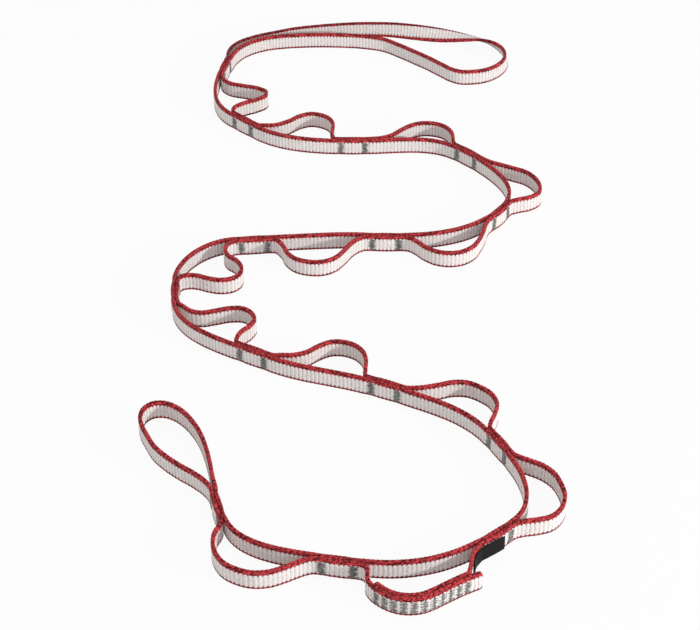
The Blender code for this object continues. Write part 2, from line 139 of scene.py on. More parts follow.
# Each pocket's strand, in shares of its span's chord, along and to the left
POCKET_SHARES = {
    1: ((0.10, 0.01), (0.24, 0.07), (0.36, 0.24), (0.46, 0.39), (0.56, 0.46), (0.65, 0.44),
        (0.73, 0.32), (0.79, 0.15), (0.87, 0.04)),
    2: ((0.08, 0.035), (0.20, 0.08), (0.32, 0.21), (0.42, 0.38), (0.52, 0.46), (0.64, 0.47),
        (0.76, 0.43), (0.85, 0.33), (0.90, 0.18), (0.94, 0.07)),
    3: ((0.12, 0.06), (0.22, 0.13), (0.34, 0.30), (0.45, 0.43), (0.57, 0.50), (0.70, 0.51),
        (0.82, 0.47), (0.92, 0.36), (0.97, 0.20), (0.985, 0.09)),
    4: ((0.10, 0.08), (0.20, 0.17), (0.31, 0.27), (0.43, 0.37), (0.58, 0.42), (0.76, 0.42),
        (0.90, 0.37), (0.97, 0.25), (0.985, 0.11)),
    5: ((0.04, 0.07), (0.14, 0.22), (0.25, 0.36), (0.38, 0.48), (0.52, 0.53), (0.66, 0.51),
        (0.79, 0.42), (0.87, 0.29), (0.92, 0.14), (0.96, 0.06)),
    6: ((0.08, 0.05), (0.17, 0.14), (0.26, 0.28), (0.36, 0.40), (0.50, 0.46), (0.64, 0.45),
        (0.77, 0.39), (0.86, 0.27), (0.91, 0.12)),
    7: ((0.11, -0.01), (0.21, 0.04), (0.28, 0.14), (0.30, 0.29), (0.38, 0.43), (0.50, 0.49),
        (0.62, 0.47), (0.71, 0.39), (0.77, 0.26), (0.80, 0.15), (0.86, 0.055), (0.945, 0.01)),
    8: ((0.12, 0.01), (0.24, 0.02), (0.33, 0.07), (0.40, 0.18), (0.48, 0.33), (0.58, 0.42),
        (0.70, 0.43), (0.80, 0.39), (0.86, 0.28), (0.88, 0.16), (0.93, 0.07)),
    9: ((0.09, 0.05), (0.20, 0.09), (0.30, 0.17), (0.38, 0.30), (0.47, 0.40), (0.58, 0.44),
        (0.71, 0.43), (0.82, 0.37), (0.90, 0.26), (0.95, 0.12)),
    10: ((0.05, 0.06), (0.13, 0.14), (0.22, 0.26), (0.31, 0.39), (0.42, 0.47), (0.56, 0.49),
         (0.71, 0.47), (0.84, 0.38), (0.92, 0.22), (0.965, 0.09)),
    11: ((0.03, 0.07), (0.08, 0.17), (0.16, 0.31), (0.27, 0.41), (0.42, 0.47), (0.60, 0.50),
         (0.77, 0.46), (0.89, 0.37), (0.95, 0.23), (0.98, 0.10)),
    13: ((0.04, 0.07), (0.10, 0.17), (0.17, 0.30), (0.26, 0.43), (0.38, 0.52), (0.53, 0.555),
         (0.68, 0.54), (0.81, 0.46), (0.91, 0.34), (0.97, 0.20), (0.985, 0.09)),
}

# The spliced pocket: the lap from its free tail on, and the strand that it lies on
SPLICED_POCKET = 12
LAP_SHARES = ((0.08, 0.345), (0.16, 0.365), (0.26, 0.395), (0.40, 0.445), (0.51, 0.485),
              (0.61, 0.51), (0.71, 0.505), (0.80, 0.475), (0.88, 0.42), (0.94, 0.35),
              (0.985, 0.27), (1.0, 0.20), (0.985, 0.13), (0.975, 0.07))
LAPPED_STRAND_SHARES = ((0.03, 0.055), (0.075, 0.10), (0.11, 0.165), (0.138, 0.235), (0.165, 0.29))
LAP_START_SHARE = 0.08
LAP_END_SHARE = 0.77
STITCH_START_SHARE = 0.11
STITCH_END_SHARE = 0.74

# End loops, in shares of the pitch: away from their junction, and to the right or left
LONG_LOOP_SHARES = (
    (0.13, 0.02), (0.24, 0.05), (0.34, 0.11), (0.43, 0.20), (0.51, 0.34), (0.59, 0.55),
    (0.65, 0.78), (0.69, 1.06), (0.68, 1.23), (0.61, 1.39), (0.53, 1.54), (0.44, 1.70),
    (0.35, 1.84), (0.29, 1.94), (0.27, 2.02), (0.29, 2.11), (0.36, 2.23), (0.47, 2.31),
    (0.60, 2.345), (0.72, 2.33), (0.84, 2.27), (0.93, 2.17), (0.98, 2.05), (0.985, 1.90),
    (0.98, 1.70), (0.98, 1.43), (0.96, 1.16), (0.91, 0.95), (0.84, 0.76), (0.76, 0.58),
    (0.67, 0.41), (0.56, 0.26), (0.44, 0.11), (0.32, 0.01), (0.20, -0.035), (0.09, -0.035),
)
SHORT_LOOP_SHARES = (
    (0.12, -0.01), (0.28, -0.01), (0.46, 0.0), (0.60, 0.02), (0.72, 0.055), (0.82, 0.10),
    (0.89, 0.15), (0.94, 0.215), (0.95, 0.29), (0.91, 0.355), (0.83, 0.39), (0.74, 0.39),
    (0.62, 0.365), (0.50, 0.33), (0.39, 0.27), (0.28, 0.19), (0.18, 0.105), (0.10, 0.05),
)
TWIST_START_SHARE = 0.465
TWIST_END_SHARE = 0.745

# %% [markdown]
# ## From shares to smooth lines
# A strand is a smooth curve through a few chosen points. Blender's Bezier curves would do it, but their
# handles drift when a point moves. A cubic between neighbours, with the slope at each point worked out from
# the points beside it, follows the same points as the rigid lengths do, to a hair.


# %% Curves in the floor plane
def heading(degrees):
    angle = math.radians(degrees)
    return Vector((math.cos(angle), math.sin(angle)))


def left_of(direction):
    return Vector((-direction.y, direction.x))


def hermite(start, end, start_slope, end_slope, share):
    """A point of the cubic that leaves and arrives with the given slopes."""
    t2 = share * share
    t3 = t2 * share
    at_start = 2.0 * t3 - 3.0 * t2 + 1.0
    at_end = 3.0 * t2 - 2.0 * t3
    return (start * at_start + start_slope * (t3 - 2.0 * t2 + share)
            + end * at_end + end_slope * (t3 - t2))


def smooth_curve(points, start_direction, end_direction):
    """Close points on a smooth curve through the given ones."""
    reaches = [(b - a).length for a, b in zip(points, points[1:])]
    slopes = [start_direction]
    for i in range(1, len(points) - 1):
        before = (points[i] - points[i - 1]) / reaches[i - 1]
        after = (points[i + 1] - points[i]) / reaches[i]
        slopes.append((before * reaches[i] + after * reaches[i - 1]) / (reaches[i - 1] + reaches[i]))
    slopes.append(end_direction)
    traced = [points[0]]
    for i, reach in enumerate(reaches):
        for step in range(1, TRACE_STEPS + 1):
            traced.append(hermite(points[i], points[i + 1], slopes[i] * reach,
                                  slopes[i + 1] * reach, step / TRACE_STEPS))
    return traced


class Path:
    """A plane curve traced by close points, with the length along it."""

    def __init__(self, points):
        self.points = points
        self.along = [0.0]
        for a, b in zip(points, points[1:]):
            self.along.append(self.along[-1] + (b - a).length)
        self.length = self.along[-1]
        chords = [(b - a).normalized() for a, b in zip(points, points[1:])]
        inner = [(a + b).normalized() for a, b in zip(chords, chords[1:])]
        self.directions = [chords[0]] + inner + [chords[-1]]

    def at(self, s):
        """The point and the direction at length s."""
        i = min(max(bisect.bisect_right(self.along, s) - 1, 0), len(self.points) - 2)
        share = (s - self.along[i]) / (self.along[i + 1] - self.along[i])
        point = self.points[i].lerp(self.points[i + 1], share)
        blend = min(max(share, 0.0), 1.0)
        return point, self.directions[i].lerp(self.directions[i + 1], blend).normalized()

    def shifted(self, offset):
        return Path([p + left_of(d) * offset for p, d in zip(self.points, self.directions)])

    def nearest(self, place):
        """The length at which the curve passes a place."""
        best = min(range(len(self.points)), key=lambda i: (self.points[i] - place).length)
        point, direction = self.points[best], self.directions[best]
        return self.along[best] + (place - point).dot(direction)


class Link:
    """The line between the two layers of one junction, then along the span after it."""

    def __init__(self, number, start):
        self.number = number
        first, last, chord = JUNCTION_HEADINGS[number - 1]
        joined = [start]
        for step in range(TRACE_STEPS):
            turned = first + (last - first) * (2 * step + 1) / (2 * TRACE_STEPS)
            joined.append(joined[-1] + heading(turned) * (JOINED_LENGTH / TRACE_STEPS))
        self.hinge = start
        self.entry = heading(first)
        self.exit = heading(last)
        self.joined = Path(joined)
        self.line = self.joined
        if chord is not None:
            self.arrival = heading(JUNCTION_HEADINGS[number][0])
            self.chord = heading(chord)
            pitch = SPLICED_PITCH if number == SPLICED_POCKET else PITCH
            span = pitch - JOINED_LENGTH
            self.reach = span / Path(self.bend(joined[-1], 1.0)).length
            self.line = Path(joined + self.bend(joined[-1], self.reach)[1:])
            self.end = self.line.points[-1]

    def bend(self, start, reach):
        """The spine's gentle curve over a chord of the given reach."""
        slope = 3.0 * SPAN_HANDLE_SHARE * reach
        steps = 2 * TRACE_STEPS
        return [hermite(start, start + self.chord * reach, self.exit * slope,
                        self.arrival * slope, i / steps) for i in range(steps + 1)]

    def place(self, along_share, left_share):
        base = self.joined.points[-1]
        return base + (self.chord * along_share + left_of(self.chord) * left_share) * self.reach


def lap_path(link):
    """The outer layer of the splice, from its free tail to the next junction."""
    via = [link.place(*share) for share in LAP_SHARES]
    last = link.end + left_of(link.arrival) * SIDE
    return Path(smooth_curve(via + [last], (via[1] - via[0]).normalized(), link.arrival))


def pocket_path(link):
    """The pocket side of a link: along the junction, then round the pocket."""
    joined = link.joined.shifted(SIDE).points
    if link.number == SPLICED_POCKET:
        covered = lap_path(link).shifted(LAYER_SPACING * -1.0)
        ends = covered.length * LAP_START_SHARE, covered.length * LAP_END_SHARE
        under = [p for p, s in zip(covered.points, covered.along) if ends[0] < s < ends[1]]
        via = [link.place(*share) for share in LAPPED_STRAND_SHARES]
        curve = smooth_curve([joined[-1]] + via + under[:1], link.exit,
                             (under[1] - under[0]).normalized())
        return Path(joined[:-1] + curve + under[1:])
    low, high = SWELL_SHARES
    for _ in range(SWELL_STEPS):
        swell = (low + high) / 2.0
        via = [link.place(a, side * swell) for a, side in POCKET_SHARES[link.number]]
        last = link.end + left_of(link.arrival) * SIDE
        curve = smooth_curve([joined[-1]] + via + [last], link.exit, link.arrival)
        if Path(curve).length < POCKET_STRAND - 2.0 * TACK_TO_HINGE:
            low = swell
        else:
            high = swell
    return Path(joined[:-1] + curve)


def long_loop_path(link):
    away = link.entry * -1.0
    right = left_of(away) * -1.0
    via = [link.hinge + (away * a + right * b) * PITCH for a, b in LONG_LOOP_SHARES]
    return Path(smooth_curve([link.hinge + right * SIDE] + via + [link.hinge - right * SIDE],
                             away, link.entry))


def short_loop_path(link):
    base = link.joined.points[-1]
    left = left_of(link.exit)
    via = [base + (link.exit * a + left * b) * PITCH for a, b in SHORT_LOOP_SHARES]
    out = link.joined.shifted(SIDE * -1.0).points
    back = link.joined.shifted(SIDE).points[::-1]
    curve = smooth_curve([out[-1]] + via + [back[0]], link.exit, link.exit * -1.0)
    return Path(out[:-1] + curve + back[1:])


def route():
    """All the links, moved so that their floor area is centred on the origin."""
    start = Vector((0.0, 0.0))
    for _ in range(2):
        links = []
        at = start
        for number in range(1, len(JUNCTION_HEADINGS) + 1):
            link = Link(number, at)
            links.append(link)
            at = link.line.points[-1]
        strands = [pocket_path(link) for link in links[:-1]]
        strands += [long_loop_path(links[0]), short_loop_path(links[-1])]
        points = [p for path in strands + [link.line for link in links] for p in path.points]
        middle = Vector([(min(p[i] for p in points) + max(p[i] for p in points)) / 2.0
                         for i in (0, 1)])
        start = start - middle
    return links


links = route()
off = max((Vector(joint["pos_m"][:2]) - links[int(joint["name"][-2:]) - 1].hinge).length
          for joint in frame["record"]["behaviour"]["joints"])
print("links", len(links), "furthest hinge from its joint in the frame", round(off / MM, 4), "mm")

# %% [markdown]
# ## One strip, cut under the tacks
# The real webbing is a single strip. Bones in an armature could bend it as one mesh, but here the strip is
# cut into lengths. The cuts lie in the middle of a tack, where thread hides them and nothing bends: each
# length runs from the first tack of one junction, over one hinge, to the first tack of the next.

# %% Lengths of webbing
SQUEEZE_SHARE = 0.16
SQUEEZE_REACH = 2.2 * MM
SQUEEZE_FADE = 2.6 * MM
END_CORNER = 1.5 * MM
SAME_PLACE = 0.12 * MM


def eased(share):
    """A share held between 0 and 1, that leaves 0 and comes to 1 smoothly."""
    held = min(max(share, 0.0), 1.0)
    return held * held * (3.0 - 2.0 * held)


class Length:
    """One visible length of webbing: its line, where tacks squeeze it, and which ends are cut free."""

    def __init__(self, name, points, tacks, outer_side, nodes, free_start=False, free_end=False):
        self.name = name
        inner = [p for p, q in zip(points[1:], points[2:])
                 if min((q - p).length, (p - points[0]).length) > SAME_PLACE]
        self.path = Path([points[0]] + inner + [points[-1]])
        self.tacks = [self.path.nearest(place) for place in tacks]
        self.outer_side = outer_side
        self.nodes = nodes
        self.free_ends = [s for s, free in ((0.0, free_start), (self.path.length, free_end)) if free]
        self.rolls = None

    def squeeze(self, s):
        """How much thinner a tack pulls the webbing, signed for the side that moves."""
        near = min((abs(s - tack) for tack in self.tacks), default=self.path.length)
        return self.outer_side * SQUEEZE_SHARE * eased(1.0 - (near - SQUEEZE_REACH) / SQUEEZE_FADE)

    def corner(self, s):
        """The width left by the rounded corners of a free end, as a share."""
        left = 1.0
        for end in self.free_ends:
            inside = min(abs(s - end) / END_CORNER, 1.0)
            cut = END_CORNER * (1.0 - math.sqrt(max(1.0 - (1.0 - inside) ** 2, 0.0)))
            left = min(left, 1.0 - cut / MID_HEIGHT)
        return left


def part_of(path, start, end):
    """The points of a path from one length to another."""
    inside = [p for p, s in zip(path.points, path.along) if start < s < end]
    return [path.at(start)[0]] + inside + [path.at(end)[0]]


def tack_points(link, offset=0.0):
    """Where a junction's two tacks are, on its middle line or beside it."""
    path = link.joined.shifted(offset) if offset else link.joined
    return [path.at(s)[0] for s in (TACK_TO_HINGE, TACK_TO_HINGE + TACK_SPACING)]


def first_half_tack(link, offset):
    """From a junction's hinge to the middle of its first tack, beside the middle line."""
    return part_of(link.joined.shifted(offset), 0.0, TACK_TO_HINGE)


def make_lengths():
    """Every length, each with the number of the body that it starts on."""
    lengths = []
    first, last = links[0], links[-1]
    lead_in = first_half_tack(first, SIDE)[::-1]
    lead_out = first_half_tack(first, SIDE * -1.0)
    loop = Length("webbing_length_long_end_loop",
                  lead_in + long_loop_path(first).points + lead_out,
                  [lead_in[0], lead_out[-1]], -1.0, ["webbing_long_end_loop"])
    turned = long_loop_path(first).length
    leads = loop.path.length - turned
    loop.rolls = lambda s: twist((s - leads / 2.0) / turned)
    lengths.append((loop, 0))
    for link, after in zip(links, links[1:]):
        number = link.number
        spine = link.line.shifted(SIDE * -1.0)
        lengths.append((Length(
            f"webbing_length_spine_{number:02d}",
            part_of(spine, TACK_TO_HINGE, spine.length) + first_half_tack(after, SIDE * -1.0),
            tack_points(link, SIDE * -1.0) + tack_points(after, SIDE * -1.0)[:1], -1.0,
            [f"webbing_spine_{number:02d}"]), number))
        pocket = pocket_path(link)
        start = pocket.nearest(tack_points(link, SIDE)[0])
        spliced = number == SPLICED_POCKET
        body = part_of(pocket, start, pocket.length)
        ends = [] if spliced else first_half_tack(after, SIDE)
        tacks = tack_points(link, SIDE) + ([] if spliced else tack_points(after, SIDE)[:1])
        lengths.append((Length(f"webbing_length_pocket_{number:02d}", body + ends, tacks, 1.0,
                               [f"webbing_pocket_{number:02d}"], free_end=spliced), number))
        if spliced:
            lengths.append((Length("webbing_length_splice_lap",
                                   lap_path(link).points + first_half_tack(after, SIDE),
                                   tack_points(after, SIDE)[:1], 1.0, ["webbing_splice_lap"],
                                   free_start=True), number))
    short = short_loop_path(last)
    lengths.append((Length("webbing_length_short_end_loop",
                           part_of(short, TACK_TO_HINGE, short.length - TACK_TO_HINGE),
                           tack_points(last, SIDE * -1.0) + tack_points(last, SIDE), -1.0,
                           ["webbing_short_end_loop"]), len(links)))
    return lengths


def twist(share):
    """The half turn of the long end loop, eased in and out."""
    return math.pi * eased((share - TWIST_START_SHARE) / (TWIST_END_SHARE - TWIST_START_SHARE))


lengths = make_lengths()
print("lengths", len(lengths), "metres of webbing", round(sum(one.path.length for one, _ in lengths), 2))

# %% [markdown]
# ## One way to write a tree
# Every shape and every finish below is a tree of nodes. It could be drawn by hand in the editor, but then its
# numbers would lie hidden in the boxes. Written out, each node takes one line: its kind, what goes into it,
# and its settings. One small function does that for every kind of node.


# %% A small helper for node trees
def add(tree, kind, inputs=None, **settings):
    """A node with its settings. A socket is linked if it is given a node or a socket, and set otherwise."""
    made = tree.nodes.new(kind)
    for name, value in settings.items():
        setattr(made, name, value)
    for socket, value in (inputs or {}).items():
        if isinstance(value, bpy.types.Node):
            value = value.outputs[0]
        if isinstance(value, bpy.types.NodeSocket):
            tree.links.new(value, made.inputs[socket])
        else:
            made.inputs[socket].default_value = value
    return made


# %% [markdown]
# ## How the tape is woven
# Such tape is woven flat: strong white yarn in the body, over a heavy weft that makes one rounded rib for
# every 2.5 millimetres, and coloured nylon in the two selvedges. The ribs are seen from a step away, so they
# have to be real relief. An array or a displacement texture could make them, but both lose step on a bend.
# A sweep in Geometry Nodes doesn't: a fixed number of rings for each rib is laid along the line, and one
# cross-section is carried round it.

# %% The cross-section
RIB_PITCH = 2.5 * MM
RIB_DEPTH = 0.22 * MM
BEAD_DEPTH = 0.16 * MM
BODY_HALF = 1.20 * MM
EDGE_HALF = 1.22 * MM
EDGE_ROUND = 0.75 * MM
EDGE_SWELL = 0.15 * MM
EDGE_SQUARENESS = 0.8
FACE_ROW_SHARES = (-0.66, -0.33, 0.0, 0.33, 0.66)
SHOULDER_SHARE = 0.76
EDGE_ARC_STEPS = 6
YARN_SLANT = 0.45


def make_section(name, half_width, body_half, edge_half, edge_round):
    """A tape cut across: flat faces and rounded selvedges, as a closed ring of edges."""
    half_ring = [(body_half, half_width * share) for share in FACE_ROW_SHARES + (SHOULDER_SHARE,)]
    for step in range(EDGE_ARC_STEPS + 1):
        turn = math.pi * step / EDGE_ARC_STEPS
        across = math.copysign(abs(math.cos(turn)) ** EDGE_SQUARENESS, math.cos(turn))
        up = abs(math.sin(turn)) ** EDGE_SQUARENESS
        half_ring.append((edge_half * across, half_width - edge_round + edge_round * up))
    half_ring.append((-body_half, half_width * SHOULDER_SHARE))
    ring = half_ring + [(-x, -y) for x, y in half_ring]
    # The sweep lays the ring's X to the right of the line and its Y downwards, so both are turned round
    mesh = bpy.data.meshes.new(name)
    count = len(ring)
    mesh.from_pydata([(-x, -y, 0.0) for x, y in ring], [(i, (i + 1) % count) for i in range(count)], [])
    return bpy.data.objects.new(name, mesh)


tape_section = make_section("tape_section", MID_HEIGHT + EDGE_SWELL, BODY_HALF, EDGE_HALF, EDGE_ROUND)
print("points round the tape", len(tape_section.data.vertices))

# %% [markdown]
# ## The weaving tree
# Each ring remembers how many ribs lie behind it, and each point of the section how far up and across it
# sits. Those three numbers follow the tape round every bend. A UV map would carry only two, so they are kept
# as attributes. They shape the relief here, and the material reads them again to lay the red yarn along the
# selvedges.

# %% The woven tape tree
LINE_RESOLUTION = 6
SELVEDGE_RAMP_MM = 0.5
CUT_END_FACING = 0.9


def new_tree(name, sockets):
    tree = bpy.data.node_groups.new(name, "GeometryNodeTree")
    tree.interface.new_socket(name="Geometry", in_out="INPUT", socket_type="NodeSocketGeometry")
    for label, kind in sockets:
        tree.interface.new_socket(name=label, in_out="INPUT", socket_type="NodeSocket" + kind)
    tree.interface.new_socket(name="Geometry", in_out="OUTPUT", socket_type="NodeSocketGeometry")
    return tree


def woven_tape_tree():
    tree = new_tree("woven_tape", (
        ("Ribs", "Int"), ("Rings per rib", "Int"), ("Section", "Object"), ("Rib depth", "Float"),
        ("Bead depth", "Float"), ("Half thickness", "Float"), ("Selvedge starts", "Float"),
        ("Yarn slant", "Float"), ("Full squeeze", "Float"), ("Waver", "Float"),
        ("Waver per metre", "Float"), ("Material", "Material")))
    given = add(tree, "NodeGroupInput")

    # The line, smoothed and cut into rings
    line = add(tree, "GeometryNodeMeshToCurve", {"Mesh": given.outputs["Geometry"]})
    smooth = add(tree, "GeometryNodeCurveSplineType", {"Curve": line}, spline_type="CATMULL_ROM")
    fine = add(tree, "GeometryNodeSetSplineResolution",
               {"Geometry": smooth, "Resolution": LINE_RESOLUTION})
    count = add(tree, "ShaderNodeMath",
                {0: given.outputs["Ribs"], 1: given.outputs["Rings per rib"], 2: 1.0},
                operation="MULTIPLY_ADD")
    rings = add(tree, "GeometryNodeResampleCurve", {"Curve": fine, "Count": count}, mode="COUNT")
    upright = add(tree, "GeometryNodeSetCurveNormal", {"Curve": rings}, mode="Z_UP")
    roll = add(tree, "GeometryNodeInputNamedAttribute", {"Name": "roll"}, data_type="FLOAT")
    tilt = add(tree, "ShaderNodeMath", {0: roll, 1: -1.0}, operation="MULTIPLY")
    rolled = add(tree, "GeometryNodeSetCurveTilt", {"Curve": upright, "Tilt": tilt})

    # What each ring carries: ribs behind it, and the ways to the left, up and ahead
    place = add(tree, "ShaderNodeMath",
                {0: add(tree, "GeometryNodeInputIndex"), 1: given.outputs["Rings per rib"]},
                operation="DIVIDE")
    ahead = add(tree, "GeometryNodeInputTangent")
    left = add(tree, "ShaderNodeVectorMath", {0: add(tree, "GeometryNodeInputNormal"), "Scale": -1.0},
               operation="SCALE")
    up = add(tree, "ShaderNodeVectorMath", {0: ahead, 1: left}, operation="CROSS_PRODUCT")
    told = rolled
    for name, kind, value in (("rib", "FLOAT", place), ("ahead", "FLOAT_VECTOR", ahead),
                              ("left", "FLOAT_VECTOR", left), ("upward", "FLOAT_VECTOR", up)):
        told = add(tree, "GeometryNodeStoreNamedAttribute",
                   {"Geometry": told, "Name": name, "Value": value}, data_type=kind, domain="POINT")

    # What each point of the section carries, in millimetres up and across
    shape = add(tree, "GeometryNodeObjectInfo", {"Object": given.outputs["Section"]})
    ring = add(tree, "GeometryNodeMeshToCurve", {"Mesh": shape.outputs["Geometry"]})
    spread = add(tree, "ShaderNodeSeparateXYZ", {"Vector": add(tree, "GeometryNodeInputPosition")})
    for name, axis in (("across", "X"), ("up", "Y")):
        size = add(tree, "ShaderNodeMath", {0: spread.outputs[axis], 1: -1.0 / MM}, operation="MULTIPLY")
        ring = add(tree, "GeometryNodeStoreNamedAttribute", {"Geometry": ring, "Name": name, "Value": size},
                   data_type="FLOAT", domain="POINT")
    swept = add(tree, "GeometryNodeCurveToMesh", {"Curve": told, "Profile Curve": ring, "Fill Caps": True})

    read = {name: add(tree, "GeometryNodeInputNamedAttribute", {"Name": name}, data_type=kind)
            for kind, names in (("FLOAT", ("rib", "across", "up", "squeeze", "corner")),
                                ("FLOAT_VECTOR", ("ahead", "left", "upward")))
            for name in names}

    # Relief: a rounded rib on the faces, and slanting beads of yarn round the selvedges
    height, wide = (add(tree, "ShaderNodeMath", {0: read[name]}, operation="ABSOLUTE")
                    for name in ("up", "across"))
    full_edge = add(tree, "ShaderNodeMath",
                    {0: given.outputs["Selvedge starts"], 1: SELVEDGE_RAMP_MM}, operation="ADD")
    selvedge = add(tree, "ShaderNodeMapRange",
                   {"Value": height, "From Min": given.outputs["Selvedge starts"], "From Max": full_edge},
                   interpolation_type="SMOOTHSTEP")
    slant = add(tree, "ShaderNodeMath", {0: wide, 1: given.outputs["Yarn slant"], 2: read["rib"]},
                operation="MULTIPLY_ADD")
    heights = []
    for phase, depth in ((read["rib"], "Rib depth"), (slant, "Bead depth")):
        turn = add(tree, "ShaderNodeMath", {0: phase, 1: math.pi}, operation="MULTIPLY")
        wave = add(tree, "ShaderNodeMath", {0: turn}, operation="SINE")
        crest = add(tree, "ShaderNodeMath", {0: wave, 1: wave}, operation="MULTIPLY")
        below = add(tree, "ShaderNodeMath", {0: crest, 1: 1.0}, operation="SUBTRACT")
        heights.append(add(tree, "ShaderNodeMath", {0: below, 1: given.outputs[depth]},
                           operation="MULTIPLY"))
    relief = add(tree, "ShaderNodeMix", {0: selvedge.outputs["Result"], 2: heights[0], 3: heights[1]},
                 data_type="FLOAT")
    amount = add(tree, "ShaderNodeMath", {0: read["squeeze"]}, operation="ABSOLUTE")
    pressed = add(tree, "ShaderNodeMapRange", {"Value": amount, "From Max": given.outputs["Full squeeze"],
                                               "To Min": 1.0, "To Max": 0.0})
    left_over = add(tree, "ShaderNodeMath", {0: relief, 1: pressed}, operation="MULTIPLY")
    lifted = add(tree, "ShaderNodeVectorMath", {0: add(tree, "GeometryNodeInputNormal"), "Scale": left_over},
                 operation="SCALE")

    # A tack flattens the ribs, and squeezes the outer face towards the inner one
    metres = add(tree, "ShaderNodeMath", {0: read["across"], 1: -MM}, operation="MULTIPLY")
    inward = add(tree, "ShaderNodeMath", {0: amount, 1: metres}, operation="MULTIPLY")
    half = add(tree, "ShaderNodeMath", {0: given.outputs["Half thickness"], 1: read["squeeze"]},
               operation="MULTIPLY")
    moved = add(tree, "ShaderNodeMath", {0: inward, 1: half}, operation="SUBTRACT")
    squeezed = add(tree, "ShaderNodeVectorMath", {0: read["left"], "Scale": moved}, operation="SCALE")

    # A free end has round corners
    short = add(tree, "ShaderNodeMath", {0: read["corner"], 1: 1.0}, operation="SUBTRACT")
    tall = add(tree, "ShaderNodeMath", {0: read["up"], 1: MM}, operation="MULTIPLY")
    drawn = add(tree, "ShaderNodeMath", {0: short, 1: tall}, operation="MULTIPLY")
    rounded = add(tree, "ShaderNodeVectorMath", {0: read["upward"], "Scale": drawn}, operation="SCALE")

    # Limp tape is never quite even. The noise follows the place, so that cut ends still match
    noise = add(tree, "ShaderNodeTexNoise", {"Scale": given.outputs["Waver per metre"], "Detail": 1.0})
    even = add(tree, "ShaderNodeVectorMath", {0: noise.outputs["Color"], 1: (0.5, 0.5, 0.5)},
               operation="SUBTRACT")
    level = add(tree, "ShaderNodeVectorMath", {0: even, 1: (1.0, 1.0, 0.0)}, operation="MULTIPLY")
    wavered = add(tree, "ShaderNodeVectorMath", {0: level, "Scale": given.outputs["Waver"]},
                  operation="SCALE")
    total = lifted
    for part in (squeezed, rounded, wavered):
        total = add(tree, "ShaderNodeVectorMath", {0: total, 1: part}, operation="ADD")
    formed = add(tree, "GeometryNodeSetPosition", {"Geometry": swept, "Offset": total})

    # The pattern's own coordinates: ribs along, millimetres up, millimetres across
    tape = add(tree, "ShaderNodeCombineXYZ", {"X": read["rib"], "Y": read["up"], "Z": read["across"]})
    marked = add(tree, "GeometryNodeStoreNamedAttribute",
                 {"Geometry": formed, "Name": "tape", "Value": tape},
                 data_type="FLOAT_VECTOR", domain="POINT")

    # Smooth all round, but not over the cut ends
    facing = add(tree, "ShaderNodeVectorMath",
                 {0: add(tree, "GeometryNodeInputNormal"), 1: read["ahead"]}, operation="DOT_PRODUCT")
    square = add(tree, "ShaderNodeMath", {0: facing.outputs["Value"]}, operation="ABSOLUTE")
    side = add(tree, "FunctionNodeCompare", {0: square, 1: CUT_END_FACING}, data_type="FLOAT",
               operation="LESS_THAN")
    soft = marked
    for domain, smooth_where in (("EDGE", True), ("FACE", side)):
        soft = add(tree, "GeometryNodeSetShadeSmooth", {"Geometry": soft, "Shade Smooth": smooth_where},
                   domain=domain)
    real = add(tree, "GeometryNodeRealizeInstances", {"Geometry": soft})
    finished = add(tree, "GeometryNodeSetMaterial",
                   {"Geometry": real, "Material": given.outputs["Material"]})
    add(tree, "NodeGroupOutput", {"Geometry": finished})
    return tree


def grown(source, tree, values, name):
    """The plain mesh that a tree makes of a source object, with the tree's inputs set by name."""
    modifier = source.modifiers.new("grow", "NODES")
    modifier.node_group = tree
    for item in tree.interface.items_tree:
        if item.in_out == "INPUT" and item.name in values:
            modifier[item.identifier] = values[item.name]
    bpy.context.view_layer.update()
    graph = bpy.context.evaluated_depsgraph_get()
    mesh = bpy.data.meshes.new_from_object(source.evaluated_get(graph))
    mesh.name = name
    source.modifiers.remove(modifier)
    return mesh


tape_tree = woven_tape_tree()
print("nodes in the weaving tree", len(tape_tree.nodes))

# %% [markdown]
# ## White polyethylene and red nylon
# The body yarn is ultra-high-molecular-weight polyethylene, which takes no dye and so is always white. The
# selvedges are dyed nylon. Woven, both are matt with a faint sheen. The red yarn turns round the edge in
# slanting stitches and ends on the face in small teeth, one for each rib. An image could hold that pattern,
# but a pattern worked out from the tape's own coordinates stays sharp and never stretches. Single filaments
# are far too fine to show, so the stitches, the gaps between yarns and the fuzz are all drawn coarser.


# %% Woven tape material
def linear(hex_colour):
    """A colour written in sRGB hex, as the linear values that the shaders take."""
    parts = [int(hex_colour[i:i + 2], 16) / 255.0 for i in (1, 3, 5)]
    return [c / 12.92 if c <= 0.04045 else ((c + 0.055) / 1.055) ** 2.4 for c in parts] + [1.0]


def new_material(name, roughness, specular, sheen):
    material = bpy.data.materials.new(name)
    material.use_nodes = True
    shader = material.node_tree.nodes["Principled BSDF"]
    for socket, value in (("Roughness", roughness), ("Specular IOR Level", specular),
                          ("Sheen Weight", sheen), ("Sheen Roughness", SHEEN_ROUGHNESS)):
        shader.inputs[socket].default_value = value
    return material, material.node_tree, shader


